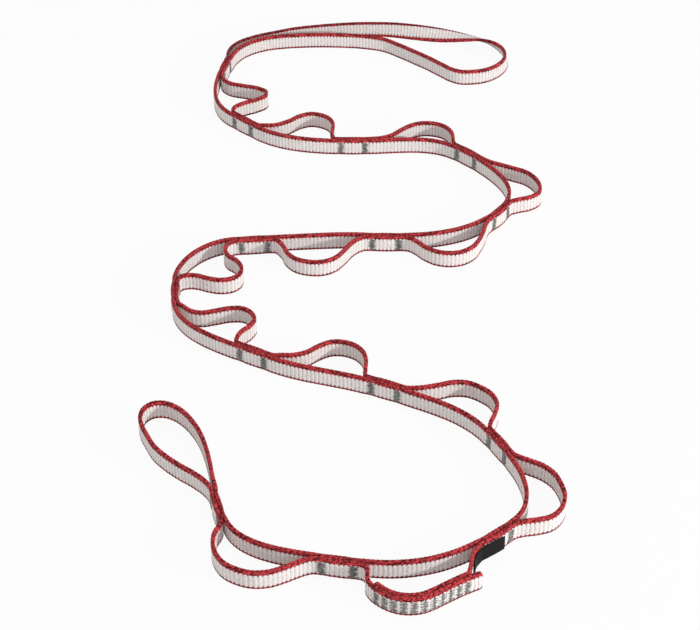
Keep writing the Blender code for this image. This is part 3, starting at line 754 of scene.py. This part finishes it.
CLOTH_SPECULAR = 0.15
SHEEN_ROUGHNESS = 0.5
TAPE_ROUGHNESS = 0.75
TAPE_SHEEN = 0.02
WHITE_YARN = "#f5f0ed"
# Painted shade for the rib grooves, tinted pink as painted bounce light from the red selvedges
GROOVE_PAINTED_SHADE_PINK = "#b8a5a1"
GROOVE_REACH_RIBS = 0.30
GROOVE_SHADE = 0.38
SPECK_NOISE = (0.35, 0.65)
SPECK_SHADE = (-0.10, 0.32)
RED_LIT = "#e24a50"
RED_DEEP = "#500a0e"
RED_BORDER_MM = 3.42
RED_SHIFT_MM = 0.58
BORDER_BLUR_MM = 0.06
TOOTH_MM = 1.00
TOOTH_REACH_RIBS = (0.05, 0.28)
TOOTH_WANDER_MM = 0.8
YARN_WIDTH_MM = 0.6
FLOAT_WIDTH_MM = 0.75
YARN_GAP_MM = 0.09
FLOAT_LENGTH_MM = 1.7
FLOAT_LEAN = math.radians(32.0)
FLOAT_GAP = "#5a5a5a"
FLOAT_CONTRAST = 0.5
FLOAT_LIT_RANGE = (0.52, 1.02)
FUZZ_MM = 1.0
# How light the red stays on the lower selvedge: painted shade, darker towards the floor
PAINTED_SHADE_LOWER_EDGE_LIT = 0.6
STRAND_MM = 0.2
STRAND_HEIGHT_SHARE = 0.5
YARN_BUMP = 0.7
YARN_BUMP_DEPTH = 0.1 * MM


def woven_tape_material():
    """Polyethylene and nylon yarn, woven: matt white ribs between ragged red borders of slanting yarn."""
    material, tree, shader = new_material("polyethylene_and_nylon_tape_woven", TAPE_ROUGHNESS,
                                          CLOTH_SPECULAR, TAPE_SHEEN)
    tape = add(tree, "ShaderNodeAttribute", attribute_name="tape")
    parts = add(tree, "ShaderNodeSeparateXYZ", {"Vector": tape.outputs["Vector"]})
    rib, up, across = (parts.outputs[axis] for axis in "XYZ")
    place = add(tree, "ShaderNodeTexCoord")

    # Pale ribs, with painted shade in the grooves, tinted pink as painted light bounced off the red selvedges.
    # The way from the nearest groove is counted in ribs
    crest = add(tree, "ShaderNodeMath", {0: rib, 1: 0.5}, operation="PINGPONG")
    painted_groove_shade = add(tree, "ShaderNodeMapRange",
                 {"Value": crest, "From Min": 0.0, "From Max": GROOVE_REACH_RIBS,
                  "To Min": GROOVE_SHADE, "To Max": 0.0},
                 interpolation_type="SMOOTHSTEP")
    fuzz = add(tree, "ShaderNodeTexNoise",
               {"Vector": place.outputs["Object"], "Scale": 1.0 / (FUZZ_MM * MM), "Detail": 3.0})
    speck = add(tree, "ShaderNodeMapRange",
                {"Value": fuzz.outputs["Fac"], "From Min": SPECK_NOISE[0], "From Max": SPECK_NOISE[1],
                 "To Min": SPECK_SHADE[0], "To Max": SPECK_SHADE[1]})
    painted_shade_and_speck = add(tree, "ShaderNodeMath", {0: painted_groove_shade, 1: speck}, operation="ADD", use_clamp=True)
    body = add(tree, "ShaderNodeMix", {0: painted_shade_and_speck, 6: linear(WHITE_YARN), 7: linear(GROOVE_PAINTED_SHADE_PINK)},
               data_type="RGBA")

    # Red yarns slant round the selvedge, each float a little lighter or darker than the next. They are
    # drawn about twice as wide as nylon yarn, so that they show from a step away
    wide = add(tree, "ShaderNodeMath", {0: across}, operation="ABSOLUTE")
    round_mm = add(tree, "ShaderNodeMath", {0: up, 1: wide}, operation="SUBTRACT")
    along_mm = add(tree, "ShaderNodeMath", {0: rib, 1: RIB_PITCH / MM}, operation="MULTIPLY")
    laid = add(tree, "ShaderNodeCombineXYZ", {"X": along_mm, "Y": round_mm})
    leaning = add(tree, "ShaderNodeVectorRotate", {"Vector": laid, "Angle": FLOAT_LEAN},
                  rotation_type="Z_AXIS")
    gaps = {"Scale": 1.0, "Mortar Size": YARN_GAP_MM, "Mortar Smooth": 1.0}
    floats = add(tree, "ShaderNodeTexBrick",
                 {"Vector": leaning, "Color1": linear("#000000"), "Color2": linear("#ffffff"),
                  "Mortar": linear(FLOAT_GAP), "Brick Width": FLOAT_LENGTH_MM,
                  "Row Height": FLOAT_WIDTH_MM, **gaps})
    shade = add(tree, "ShaderNodeMath",
                {0: floats.outputs["Color"], 1: FLOAT_CONTRAST, 2: fuzz.outputs["Fac"]},
                operation="MULTIPLY_ADD")
    # The lower selvedge's red is painted darker, as shade near the floor, and its teeth are shorter by the
    # same share
    painted_shade_below = add(tree, "ShaderNodeMapRange", {"Value": up, "From Min": -1.0, "From Max": 1.0,
                                           "To Min": PAINTED_SHADE_LOWER_EDGE_LIT, "To Max": 1.0})
    lit = add(tree, "ShaderNodeMapRange", {"Value": shade, "From Min": FLOAT_LIT_RANGE[0],
                                           "From Max": FLOAT_LIT_RANGE[1], "To Max": painted_shade_below},
              interpolation_type="SMOOTHSTEP")
    red = add(tree, "ShaderNodeMix", {0: lit, 6: linear(RED_DEEP), 7: linear(RED_LIT)}, data_type="RGBA")

    # The border between them: red runs down each groove as a tooth, and one selvedge is the wider one
    lobe = add(tree, "ShaderNodeMapRange",
               {"Value": crest, "From Min": TOOTH_REACH_RIBS[0], "From Max": TOOTH_REACH_RIBS[1],
                "To Min": 0.0, "To Max": TOOTH_MM}, interpolation_type="SMOOTHSTEP")
    tooth = add(tree, "ShaderNodeMath", {0: lobe, 1: painted_shade_below}, operation="MULTIPLY")
    wander = add(tree, "ShaderNodeMath",
                 {0: fuzz.outputs["Fac"], 1: TOOTH_WANDER_MM, 2: RED_BORDER_MM - TOOTH_WANDER_MM / 2.0},
                 operation="MULTIPLY_ADD")
    border = add(tree, "ShaderNodeMath", {0: wander, 1: tooth}, operation="ADD")
    shifted = add(tree, "ShaderNodeMath", {0: up, 1: RED_SHIFT_MM}, operation="ADD")
    height = add(tree, "ShaderNodeMath", {0: shifted}, operation="ABSOLUTE")
    past = add(tree, "ShaderNodeMath", {0: height, 1: border}, operation="SUBTRACT")
    dyed = add(tree, "ShaderNodeMapRange",
               {"Value": past, "From Min": -BORDER_BLUR_MM, "From Max": BORDER_BLUR_MM},
               interpolation_type="SMOOTHSTEP")
    colour = add(tree, "ShaderNodeMix", {0: dyed, 6: body.outputs[2], 7: red.outputs[2]}, data_type="RGBA")
    tree.links.new(colour.outputs[2], shader.inputs["Base Color"])

    # White yarns lie along the tape, each over one rib. The gaps between yarns are drawn twice too wide
    plain = add(tree, "ShaderNodeTexBrick",
                {"Vector": laid, "Brick Width": RIB_PITCH / MM, "Row Height": YARN_WIDTH_MM, **gaps})
    gap = add(tree, "ShaderNodeMix", {0: dyed, 2: plain.outputs["Fac"], 3: floats.outputs["Fac"]})
    strands = add(tree, "ShaderNodeTexNoise",
                  {"Vector": place.outputs["Object"], "Scale": 1.0 / (STRAND_MM * MM), "Detail": 2.0})
    pile = add(tree, "ShaderNodeMath",
               {0: strands.outputs["Fac"], 1: STRAND_HEIGHT_SHARE, 2: gap.outputs[0]},
               operation="MULTIPLY_ADD")
    bump = add(tree, "ShaderNodeBump",
               {"Strength": YARN_BUMP, "Distance": -YARN_BUMP_DEPTH, "Height": pile})
    tree.links.new(bump.outputs["Normal"], shader.inputs["Normal"])
    return material


tape_material = woven_tape_material()
print("tape material nodes", len(tape_material.node_tree.nodes))

# %% [markdown]
# ## Weaving every length
# Where a length crosses a hinge it spans two bodies, and on one body alone it would leave a gap at every
# bend. The webbing bends hard beside a tack. Such a length is woven where it lies and attached to no body.
# Only the last loop and the strand that ends under the lap are attached, each to one body.

# %% Weave
RINGS_PER_RIB = 10
WAVER = 0.22 * MM
WAVER_PER_METRE = 90.0
SELVEDGE_STARTS_MM = 4.4


def line_object(name, points, values):
    """A centre line as a chain of edges that carries a value of each kind for every point."""
    mesh = bpy.data.meshes.new(name)
    mesh.from_pydata(points, [(i, i + 1) for i in range(len(points) - 1)], [])
    for kind, column in values.items():
        mesh.attributes.new(kind, "FLOAT", "POINT").data.foreach_set("value", column)
    return put(name, mesh)


def length_line(length):
    """A length's centre line, raised where its roll would put it through the floor."""
    points = []
    values = {"roll": [], "squeeze": [], "corner": []}
    for point, s in zip(length.path.points, length.path.along):
        roll = length.rolls(s) if length.rolls else 0.0
        reach = MID_HEIGHT * abs(math.cos(roll)) + WEBBING_THICKNESS / 2.0 * abs(math.sin(roll))
        points.append((point.x, point.y, max(MID_HEIGHT, reach)))
        values["roll"].append(roll)
        values["squeeze"].append(length.squeeze(s))
        values["corner"].append(length.corner(s))
    return line_object(length.name + "_line", points, values)


# What the webbing and the label have in common
ANY_TAPE = {"Yarn slant": YARN_SLANT, "Full squeeze": SQUEEZE_SHARE, "Waver": WAVER,
            "Waver per metre": WAVER_PER_METRE}
BODY_NAMES = (["long_end_loop"] + [f"pocket_{number:02d}" for number in range(1, len(links))]
              + ["short_end_loop"])


def weave(length, number):
    """A length as a woven mesh. Two lengths are attached to one body each: the last loop, and the strand that
    ends under the lap. The others stay where they lie, on no body."""
    line = length_line(length)
    mesh = grown(line, tape_tree, {
        **ANY_TAPE, "Ribs": round(length.path.length / RIB_PITCH), "Rings per rib": RINGS_PER_RIB,
        "Section": tape_section, "Rib depth": RIB_DEPTH, "Bead depth": BEAD_DEPTH,
        "Half thickness": WEBBING_THICKNESS / 2.0, "Selvedge starts": SELVEDGE_STARTS_MM,
        "Material": tape_material}, length.name)
    bpy.data.objects.remove(line)
    woven = put(length.name, mesh)
    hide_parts(*length.nodes)
    if number == len(links) or length.name == f"webbing_length_pocket_{SPLICED_POCKET}":
        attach(woven, BODY_NAMES[number])
    else:
        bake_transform(woven)
    return woven


woven_lengths = [weave(length, number) for length, number in lengths]
triangles = sum(len(p.vertices) - 2 for piece in woven_lengths for p in piece.data.polygons)
print("woven", len(woven_lengths), "triangles", triangles,
      "largest", max(sum(len(p.vertices) - 2 for p in piece.data.polygons) for piece in woven_lengths))

# %% [markdown]
# ## Bar tacks
# A bar tack is a dense zigzag of bonded thread that a machine sews across both layers. Here it is one thread
# that goes from side to side some two dozen times as it climbs the tape, and dips into it at every turn. The
# strokes could be drawn one by one. A small tree is shorter, and the raggedness of real sewing comes from its
# random numbers, with a seed for each side of each tack, so that no two are the same.

# %% The stitching tree
STROKE_SLIP = 0.45
SLIP_SEED = 7
STROKE_LIFT_RANGE = (0.7, 1.3)
STROKE_PARTS = 4
THREAD_SIDES = 6


def zigzag_tree():
    tree = new_tree("zigzag_stitches", (
        ("Strokes", "Int"), ("Width", "Float"), ("Height", "Float"), ("Ragged", "Float"),
        ("Sink", "Float"), ("Rise", "Float"), ("Thread radius", "Float"), ("Seed", "Int"),
        ("Material", "Material")))
    given = add(tree, "NodeGroupInput")

    # The turns of the zigzag, one above the other
    step = add(tree, "ShaderNodeMath", {0: given.outputs["Height"], 1: given.outputs["Strokes"]},
               operation="DIVIDE")
    foot = add(tree, "ShaderNodeMath", {0: given.outputs["Height"], 1: -0.5}, operation="MULTIPLY")
    turns = add(tree, "ShaderNodeMath", {0: given.outputs["Strokes"], 1: 1.0}, operation="ADD")
    column = add(tree, "GeometryNodeMeshLine",
                 {"Count": turns, "Start Location": add(tree, "ShaderNodeCombineXYZ", {"Z": foot}),
                  "Offset": add(tree, "ShaderNodeCombineXYZ", {"Z": step})}, mode="OFFSET")

    # Every other turn to the left, none of them quite in line
    turn = add(tree, "GeometryNodeInputIndex")
    odd = add(tree, "ShaderNodeMath", {0: turn, 1: 2.0}, operation="MODULO")
    side = add(tree, "ShaderNodeMath", {0: odd, 1: 2.0, 2: -1.0}, operation="MULTIPLY_ADD")
    less = add(tree, "ShaderNodeMath", {0: given.outputs["Ragged"], 1: -1.0}, operation="MULTIPLY")
    astray = add(tree, "FunctionNodeRandomValue",
                 {2: less, 3: given.outputs["Ragged"], "ID": turn, "Seed": given.outputs["Seed"]},
                 data_type="FLOAT")
    half = add(tree, "ShaderNodeMath", {0: given.outputs["Width"], 1: 0.5, 2: astray.outputs[1]},
               operation="MULTIPLY_ADD")
    reach = add(tree, "ShaderNodeMath", {0: half, 1: side}, operation="MULTIPLY")
    slip = add(tree, "FunctionNodeRandomValue",
               {2: -STROKE_SLIP, 3: STROKE_SLIP, "ID": turn, "Seed": SLIP_SEED}, data_type="FLOAT")
    climb = add(tree, "ShaderNodeMath", {0: slip.outputs[1], 1: step}, operation="MULTIPLY")
    spread = add(tree, "GeometryNodeSetPosition",
                 {"Geometry": column, "Offset": add(tree, "ShaderNodeCombineXYZ", {"X": reach, "Z": climb})})

    # Each stroke arches from one needle hole to the next, some over and some under their neighbours
    thread = add(tree, "GeometryNodeMeshToCurve", {"Mesh": spread})
    pieces = add(tree, "GeometryNodeSubdivideCurve", {"Curve": thread, "Cuts": STROKE_PARTS - 1})
    place = add(tree, "GeometryNodeInputIndex")
    hump = add(tree, "ShaderNodeMath", {0: place, 1: STROKE_PARTS / 2.0}, operation="PINGPONG")
    arch = add(tree, "ShaderNodeMapRange",
               {"Value": hump, "From Max": STROKE_PARTS / 2.0, "To Min": given.outputs["Sink"],
                "To Max": given.outputs["Rise"]}, interpolation_type="SMOOTHERSTEP")
    counted = add(tree, "ShaderNodeMath", {0: place, 1: 1.0 / STROKE_PARTS}, operation="MULTIPLY")
    stroke = add(tree, "ShaderNodeMath", {0: counted}, operation="FLOOR")
    over = add(tree, "FunctionNodeRandomValue",
               {2: STROKE_LIFT_RANGE[0], 3: STROKE_LIFT_RANGE[1], "ID": stroke,
                "Seed": given.outputs["Seed"]}, data_type="FLOAT")
    lift = add(tree, "ShaderNodeMath", {0: arch.outputs["Result"], 1: over.outputs[1]}, operation="MULTIPLY")
    arched = add(tree, "GeometryNodeSetPosition",
                 {"Geometry": pieces, "Offset": add(tree, "ShaderNodeCombineXYZ", {"Y": lift})})
    round_thread = add(tree, "GeometryNodeCurvePrimitiveCircle",
                       {"Resolution": THREAD_SIDES, "Radius": given.outputs["Thread radius"]},
                       mode="RADIUS")
    sewn = add(tree, "GeometryNodeCurveToMesh",
               {"Curve": arched, "Profile Curve": round_thread.outputs["Curve"], "Fill Caps": True})
    soft = add(tree, "GeometryNodeSetShadeSmooth", {"Geometry": sewn, "Shade Smooth": True})
    real = add(tree, "GeometryNodeRealizeInstances", {"Geometry": soft})
    finished = add(tree, "GeometryNodeSetMaterial",
                   {"Geometry": real, "Material": given.outputs["Material"]})
    add(tree, "NodeGroupOutput", {"Geometry": finished})
    return tree


zigzag = zigzag_tree()
print("nodes in the stitching tree", len(zigzag.nodes))

# %% [markdown]
# ## Bonded thread
# The thread is grey polyamide, bonded with resin so that it doesn't fray. It is smooth and a little shiny,
# and each stroke catches the light on its own. Next to the white tape it looks greenish. An image or plain
# grey would make all strokes alike. A noise as large as a few of them makes patches lighter and darker:
# painted highlight and painted shade.

# %% Thread material
TACK_THREAD = "#84857f"
TACK_THREAD_DARK = "#373936"
SPLICE_THREAD = "#868983"
SPLICE_THREAD_DARK = "#484c47"
THREAD_ROUGHNESS = 0.4
THREAD_SPECULAR = 1.0
THREAD_PATCH_MM = 1.2
THREAD_PATCH_EDGE = (0.38, 0.62)


def thread_material(name, pale, dark):
    """Polyamide thread, bonded: smooth and a little shiny, patched with painted highlight and painted shade.
    """
    material, tree, shader = new_material(name, THREAD_ROUGHNESS, THREAD_SPECULAR, 0.0)
    place = add(tree, "ShaderNodeTexCoord")
    # Patches of painted highlight and painted shade
    patches = add(tree, "ShaderNodeTexNoise", {"Vector": place.outputs["Object"],
                                               "Scale": 1.0 / (THREAD_PATCH_MM * MM), "Detail": 2.0})
    share = add(tree, "ShaderNodeMapRange",
                {"Value": patches.outputs["Fac"], "From Min": THREAD_PATCH_EDGE[0],
                 "From Max": THREAD_PATCH_EDGE[1]},
                interpolation_type="SMOOTHSTEP")
    colour = add(tree, "ShaderNodeMix", {0: share, 6: linear(dark), 7: linear(pale)}, data_type="RGBA")
    tree.links.new(colour.outputs[2], shader.inputs["Base Color"])
    return material


tack_thread = thread_material("polyamide_thread_bonded_grey", TACK_THREAD, TACK_THREAD_DARK)
splice_thread = thread_material("polyamide_thread_bonded_pale_grey", SPLICE_THREAD, SPLICE_THREAD_DARK)
print("thread materials", tack_thread.name, splice_thread.name)

# %% [markdown]
# ## Sewing on both faces
# A stitch shows on both sides of the seam, so each bar is sewn twice, once on each outer face. A mirrored
# copy would show the same strokes on both, so each side is grown from a seed of its own. The two are joined
# into one mesh, because they belong to one piece of the frame.

# %% Sew the bar tacks
TACK_LENGTH = 4.2 * MM
TACK_HEIGHT = 8.0 * MM
STITCH_HEIGHT = 5.4 * MM
TACK_STROKES = 23
TACK_RAGGED = 0.6 * MM
TACK_THREAD_RADIUS = 0.20 * MM
THREAD_SINK = 0.04 * MM
THREAD_RISE = 0.28 * MM


def sewn(strokes, width, height, ragged, radius, seed, material):
    """One zigzag in its own frame: X along the tape, Y out of its face, Z up."""
    source = put("needle", bpy.data.meshes.new("needle"))
    mesh = grown(source, zigzag, {
        "Strokes": strokes, "Width": width, "Height": height, "Ragged": ragged, "Sink": THREAD_SINK,
        "Rise": THREAD_RISE, "Thread radius": radius, "Seed": seed, "Material": material}, "zigzag")
    bpy.data.objects.remove(source)
    return mesh


def onto_face(mesh, point, direction, outwards):
    """Lay a zigzag on the face of the tape that looks to the left (1) or the right (-1) of its direction."""
    away = left_of(direction) * outwards
    along = direction * outwards
    mesh.transform(Matrix(((along.x, away.x, 0.0, point.x), (along.y, away.y, 0.0, point.y),
                           (0.0, 0.0, 1.0, STITCH_HEIGHT), (0.0, 0.0, 0.0, 1.0))))
    return mesh


def joined_mesh(name, meshes, material):
    """Several meshes as one."""
    whole = bmesh.new()
    for mesh in meshes:
        whole.from_mesh(mesh)
        bpy.data.meshes.remove(mesh)
    made = bpy.data.meshes.new(name)
    whole.to_mesh(made)
    whole.free()
    made.materials.append(material)
    return put(name, made)


def sew_tack(link, mark, reach, seed):
    point, direction = link.joined.at(reach)
    face = SIDE + BODY_HALF - SQUEEZE_SHARE * WEBBING_THICKNESS
    zigzags = []
    for outwards in (1.0, -1.0):
        mesh = sewn(TACK_STROKES, TACK_LENGTH, TACK_HEIGHT, TACK_RAGGED, TACK_THREAD_RADIUS,
                    seed + (outwards > 0.0), tack_thread)
        zigzags.append(onto_face(mesh, point + left_of(direction) * outwards * face, direction, outwards))
    node = f"bar_tack_{link.number:02d}{mark}"
    piece = joined_mesh("thread_" + node, zigzags, tack_thread)
    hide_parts(node)
    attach(piece, BODY_NAMES[link.number])
    return piece


tacks = [sew_tack(link, mark, reach, 4 * link.number + 2 * i)
         for link in links
         for i, (mark, reach) in enumerate((("a", TACK_TO_HINGE), ("b", TACK_TO_HINGE + TACK_SPACING)))]
print("bar tacks", len(tacks), "faces in one", len(tacks[0].data.polygons))

# %% [markdown]
# ## Splice stitching
# The two ends of the strip lap in the pocket next to the last, and eleven columns of zigzag hold them. Each
# column is a narrow dense zigzag with a wide open one over it, which leaves the row of points on either side.
# A second tree could draw both at once, but the first tree does it at two sizes.

# %% Sew the splice
SPLICE_COLUMNS = 11
COLUMN_HEIGHT = 7.8 * MM
COLUMN_ZIGZAGS = ((9, 4.3 * MM, 0.3 * MM), (14, 1.2 * MM, 0.25 * MM))
SPLICE_THREAD_RADIUS = 0.145 * MM


def sew_splice(link):
    path = lap_path(link)
    zigzags = []
    for column in range(SPLICE_COLUMNS):
        share = STITCH_START_SHARE + ((STITCH_END_SHARE - STITCH_START_SHARE) * column
                                      / (SPLICE_COLUMNS - 1))
        point, direction = path.at(path.length * share)
        for outwards, face in ((1.0, BODY_HALF), (-1.0, LAYER_SPACING + BODY_HALF)):
            for i, (strokes, width, ragged) in enumerate(COLUMN_ZIGZAGS):
                mesh = sewn(strokes, width, COLUMN_HEIGHT, ragged, SPLICE_THREAD_RADIUS,
                            8 * column + 4 * i + (outwards > 0.0), splice_thread)
                place = point + left_of(direction) * outwards * face
                zigzags.append(onto_face(mesh, place, direction, outwards))
    piece = joined_mesh("thread_splice_stitching", zigzags, splice_thread)
    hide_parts("splice_stitching")
    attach(piece, BODY_NAMES[link.number])
    return piece


splice = sew_splice(links[SPLICED_POCKET - 1])
print("splice faces", len(splice.data.polygons))

# %% [markdown]
# ## Label
# The label is a narrow black polyester tape, folded double and sewn under the second tack. Its loose end
# stands off the webbing a little. A bent strip of faces would do, but it is woven as the webbing is, so the
# same tree weaves it over a cross-section of its own. Its real ribs are some ten times finer than the
# webbing's. Here they are drawn coarser, so that they show at all. It stays bare.

# %% Label
LABEL_HEIGHT = 9.2 * MM
LABEL_FOOT = 1.0 * MM
LABEL_LENGTH = 32.1 * MM
LABEL_PAST_TACK = 5.1 * MM
LABEL_HALF = 0.42 * MM
LABEL_RIB_PITCH = 0.8 * MM
LABEL_RIB_DEPTH = 0.05 * MM
LABEL_RINGS_PER_RIB = 4
LABEL_STAND_OFF = 0.75 * MM
LABEL_SEWN_DOWN = 0.1 * MM
LABEL_RAMP = 9.0 * MM
LABEL_STIFF = 5
LABEL_BLACK = "#100e0f"
LABEL_GLINT = "#262525"
LABEL_ROUGHNESS = 0.7
LABEL_GRAIN_MM = 0.5
LABEL_BUMP = 0.3
LABEL_BUMP_DEPTH = 0.05 * MM


def label_material():
    """Black polyester, woven fine and flat: dark and dull, with faint weft grain and painted glint, drawn
    coarser.
    """
    material, tree, shader = new_material("polyester_label_tape_woven_black", LABEL_ROUGHNESS,
                                          CLOTH_SPECULAR, 0.0)
    tape = add(tree, "ShaderNodeAttribute", attribute_name="tape")
    parts = add(tree, "ShaderNodeSeparateXYZ", {"Vector": tape.outputs["Vector"]})
    place = add(tree, "ShaderNodeTexCoord")
    grain = add(tree, "ShaderNodeTexNoise",
                {"Vector": place.outputs["Object"], "Scale": 1.0 / (LABEL_GRAIN_MM * MM), "Detail": 2.0})
    # A painted glint on the crest of each rib, patchy with the grain
    pick = add(tree, "ShaderNodeMath", {0: parts.outputs["X"], 1: 0.5}, operation="PINGPONG")
    glint = add(tree, "ShaderNodeMath", {0: pick, 1: grain.outputs["Fac"]}, operation="MULTIPLY")
    colour = add(tree, "ShaderNodeMix", {0: glint, 6: linear(LABEL_BLACK), 7: linear(LABEL_GLINT)},
                 data_type="RGBA")
    tree.links.new(colour.outputs[2], shader.inputs["Base Color"])
    bump = add(tree, "ShaderNodeBump", {"Strength": LABEL_BUMP, "Distance": LABEL_BUMP_DEPTH,
                                        "Height": grain.outputs["Fac"]})
    tree.links.new(bump.outputs["Normal"], shader.inputs["Normal"])
    return material


def sew_label(link):
    path = pocket_path(link)
    tack = path.nearest(tack_points(link, SIDE)[1])
    start = tack - TACK_SPACING + LABEL_PAST_TACK
    near = BODY_HALF + LABEL_HALF + LABEL_SEWN_DOWN
    places = []
    for point, direction, s in zip(path.points, path.directions, path.along):
        if start <= s <= start + LABEL_LENGTH:
            away = near + (LABEL_STAND_OFF - LABEL_SEWN_DOWN) * eased(1.0 - (s - tack) / LABEL_RAMP)
            places.append(point + left_of(direction) * away)
    points = []
    for i, place in enumerate(places):
        reach = min(LABEL_STIFF, i, len(places) - 1 - i)
        near_by = places[i - reach:i + reach + 1]
        middle = sum(near_by, Vector((0.0, 0.0))) / len(near_by)
        points.append((middle.x, middle.y, LABEL_FOOT + LABEL_HEIGHT / 2.0))
    length = sum((Vector(b) - Vector(a)).length for a, b in zip(points, points[1:]))
    plain = [0.0] * len(points)
    line = line_object("label_line", points,
                       {"roll": plain, "squeeze": plain, "corner": [1.0] * len(points)})
    section = make_section("label_section", LABEL_HEIGHT / 2.0, LABEL_HALF, LABEL_HALF, LABEL_HALF)
    mesh = grown(line, tape_tree, {
        **ANY_TAPE, "Ribs": round(length / LABEL_RIB_PITCH), "Rings per rib": LABEL_RINGS_PER_RIB,
        "Section": section, "Rib depth": LABEL_RIB_DEPTH, "Bead depth": LABEL_RIB_DEPTH,
        "Half thickness": LABEL_HALF, "Selvedge starts": LABEL_HEIGHT / MM,
        "Material": label_material()}, "label_tape_woven")
    bpy.data.objects.remove(line)
    piece = put("label_tape_woven", mesh)
    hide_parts("label_tape")
    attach(piece, BODY_NAMES[link.number])
    return piece


label = sew_label(links[SPLICED_POCKET - 1])
print("label faces", len(label.data.polygons))

# %% [markdown]
# ## Floor and light
# The picture was lit by one small lamp, low on the right, and a white surround. The floor is white paper. A
# stronger lamp would whiten it, but the webbing would lose its ribs. The Light Path node does it instead:
# the camera sees the paper and the surround as plain white, with a little of the shadow kept, while every
# other ray meets plain paper and a dimmer world, which light the webbing at an even level.


# %% Floor, world and lamp
def seen(tree):
    """1 for a ray that comes from the camera, straight, off a gloss or through something clear, else 0."""
    rays = add(tree, "ShaderNodeLightPath")
    either = add(tree, "ShaderNodeMath",
                 {0: rays.outputs["Is Camera Ray"], 1: rays.outputs["Is Glossy Ray"]},
                 operation="MAXIMUM")
    return add(tree, "ShaderNodeMath", {0: either, 1: rays.outputs["Is Transmission Ray"]},
               operation="MAXIMUM")


WHITE = "#ffffff"
FLOOR_SIZE = 3.0
FLOOR_COLOUR = "#eeeeee"
SHADOW_SHARE = 0.08
WORLD_STRENGTH = 0.76
LAMP_DIRECTION = (0.82, -0.50, 0.29)
LAMP_DISTANCE = 1.5
LAMP_SIZE = 0.05
LAMP_SHARE = 0.52


def make_stage():
    """The paper, as low as the swollen selvedges reach."""
    mesh = bpy.data.meshes.new("floor")
    half = FLOOR_SIZE / 2.0
    mesh.from_pydata([(half * x, half * y, -EDGE_SWELL) for x, y in ((-1, -1), (1, -1), (1, 1), (-1, 1))],
                     [], [(0, 1, 2, 3)])
    floor = put("floor", mesh)
    material = bpy.data.materials.new("paper_floor_matt")
    material.use_nodes = True
    tree = material.node_tree
    tree.nodes.clear()
    share = add(tree, "ShaderNodeMath", {0: seen(tree), 1: 1.0 - SHADOW_SHARE}, operation="MULTIPLY")
    paper = add(tree, "ShaderNodeBsdfDiffuse", {"Color": linear(FLOOR_COLOUR)})
    white = add(tree, "ShaderNodeEmission", {"Color": linear(WHITE), "Strength": 1.0})
    mixed = add(tree, "ShaderNodeMixShader", {0: share, 1: paper, 2: white})
    add(tree, "ShaderNodeOutputMaterial", {"Surface": mixed})
    mesh.materials.append(material)


def make_world():
    world = bpy.data.worlds.new("white_surround")
    bpy.context.scene.world = world
    world.use_nodes = True
    tree = world.node_tree
    tree.nodes.clear()
    light = add(tree, "ShaderNodeBackground", {"Color": linear(WHITE), "Strength": WORLD_STRENGTH})
    shown = add(tree, "ShaderNodeBackground", {"Color": linear(WHITE), "Strength": 1.0})
    mixed = add(tree, "ShaderNodeMixShader", {0: seen(tree), 1: light, 2: shown})
    add(tree, "ShaderNodeOutputWorld", {"Surface": mixed})


def make_lamp():
    """A small disk. A surface that faces it gets LAMP_SHARE of what a world of strength 1 gives."""
    data = bpy.data.lights.new("key_lamp", "AREA")
    data.shape = "DISK"
    data.size = LAMP_SIZE
    data.energy = LAMP_SHARE * math.pi ** 2 * LAMP_DISTANCE ** 2
    lamp = put("key_lamp", data)
    towards = Vector(LAMP_DIRECTION).normalized()
    lamp.location = towards * LAMP_DISTANCE
    lamp.rotation_euler = towards.to_track_quat("Z", "Y").to_euler()


make_stage()
make_world()
make_lamp()
bpy.context.scene.view_settings.view_transform = "Standard"
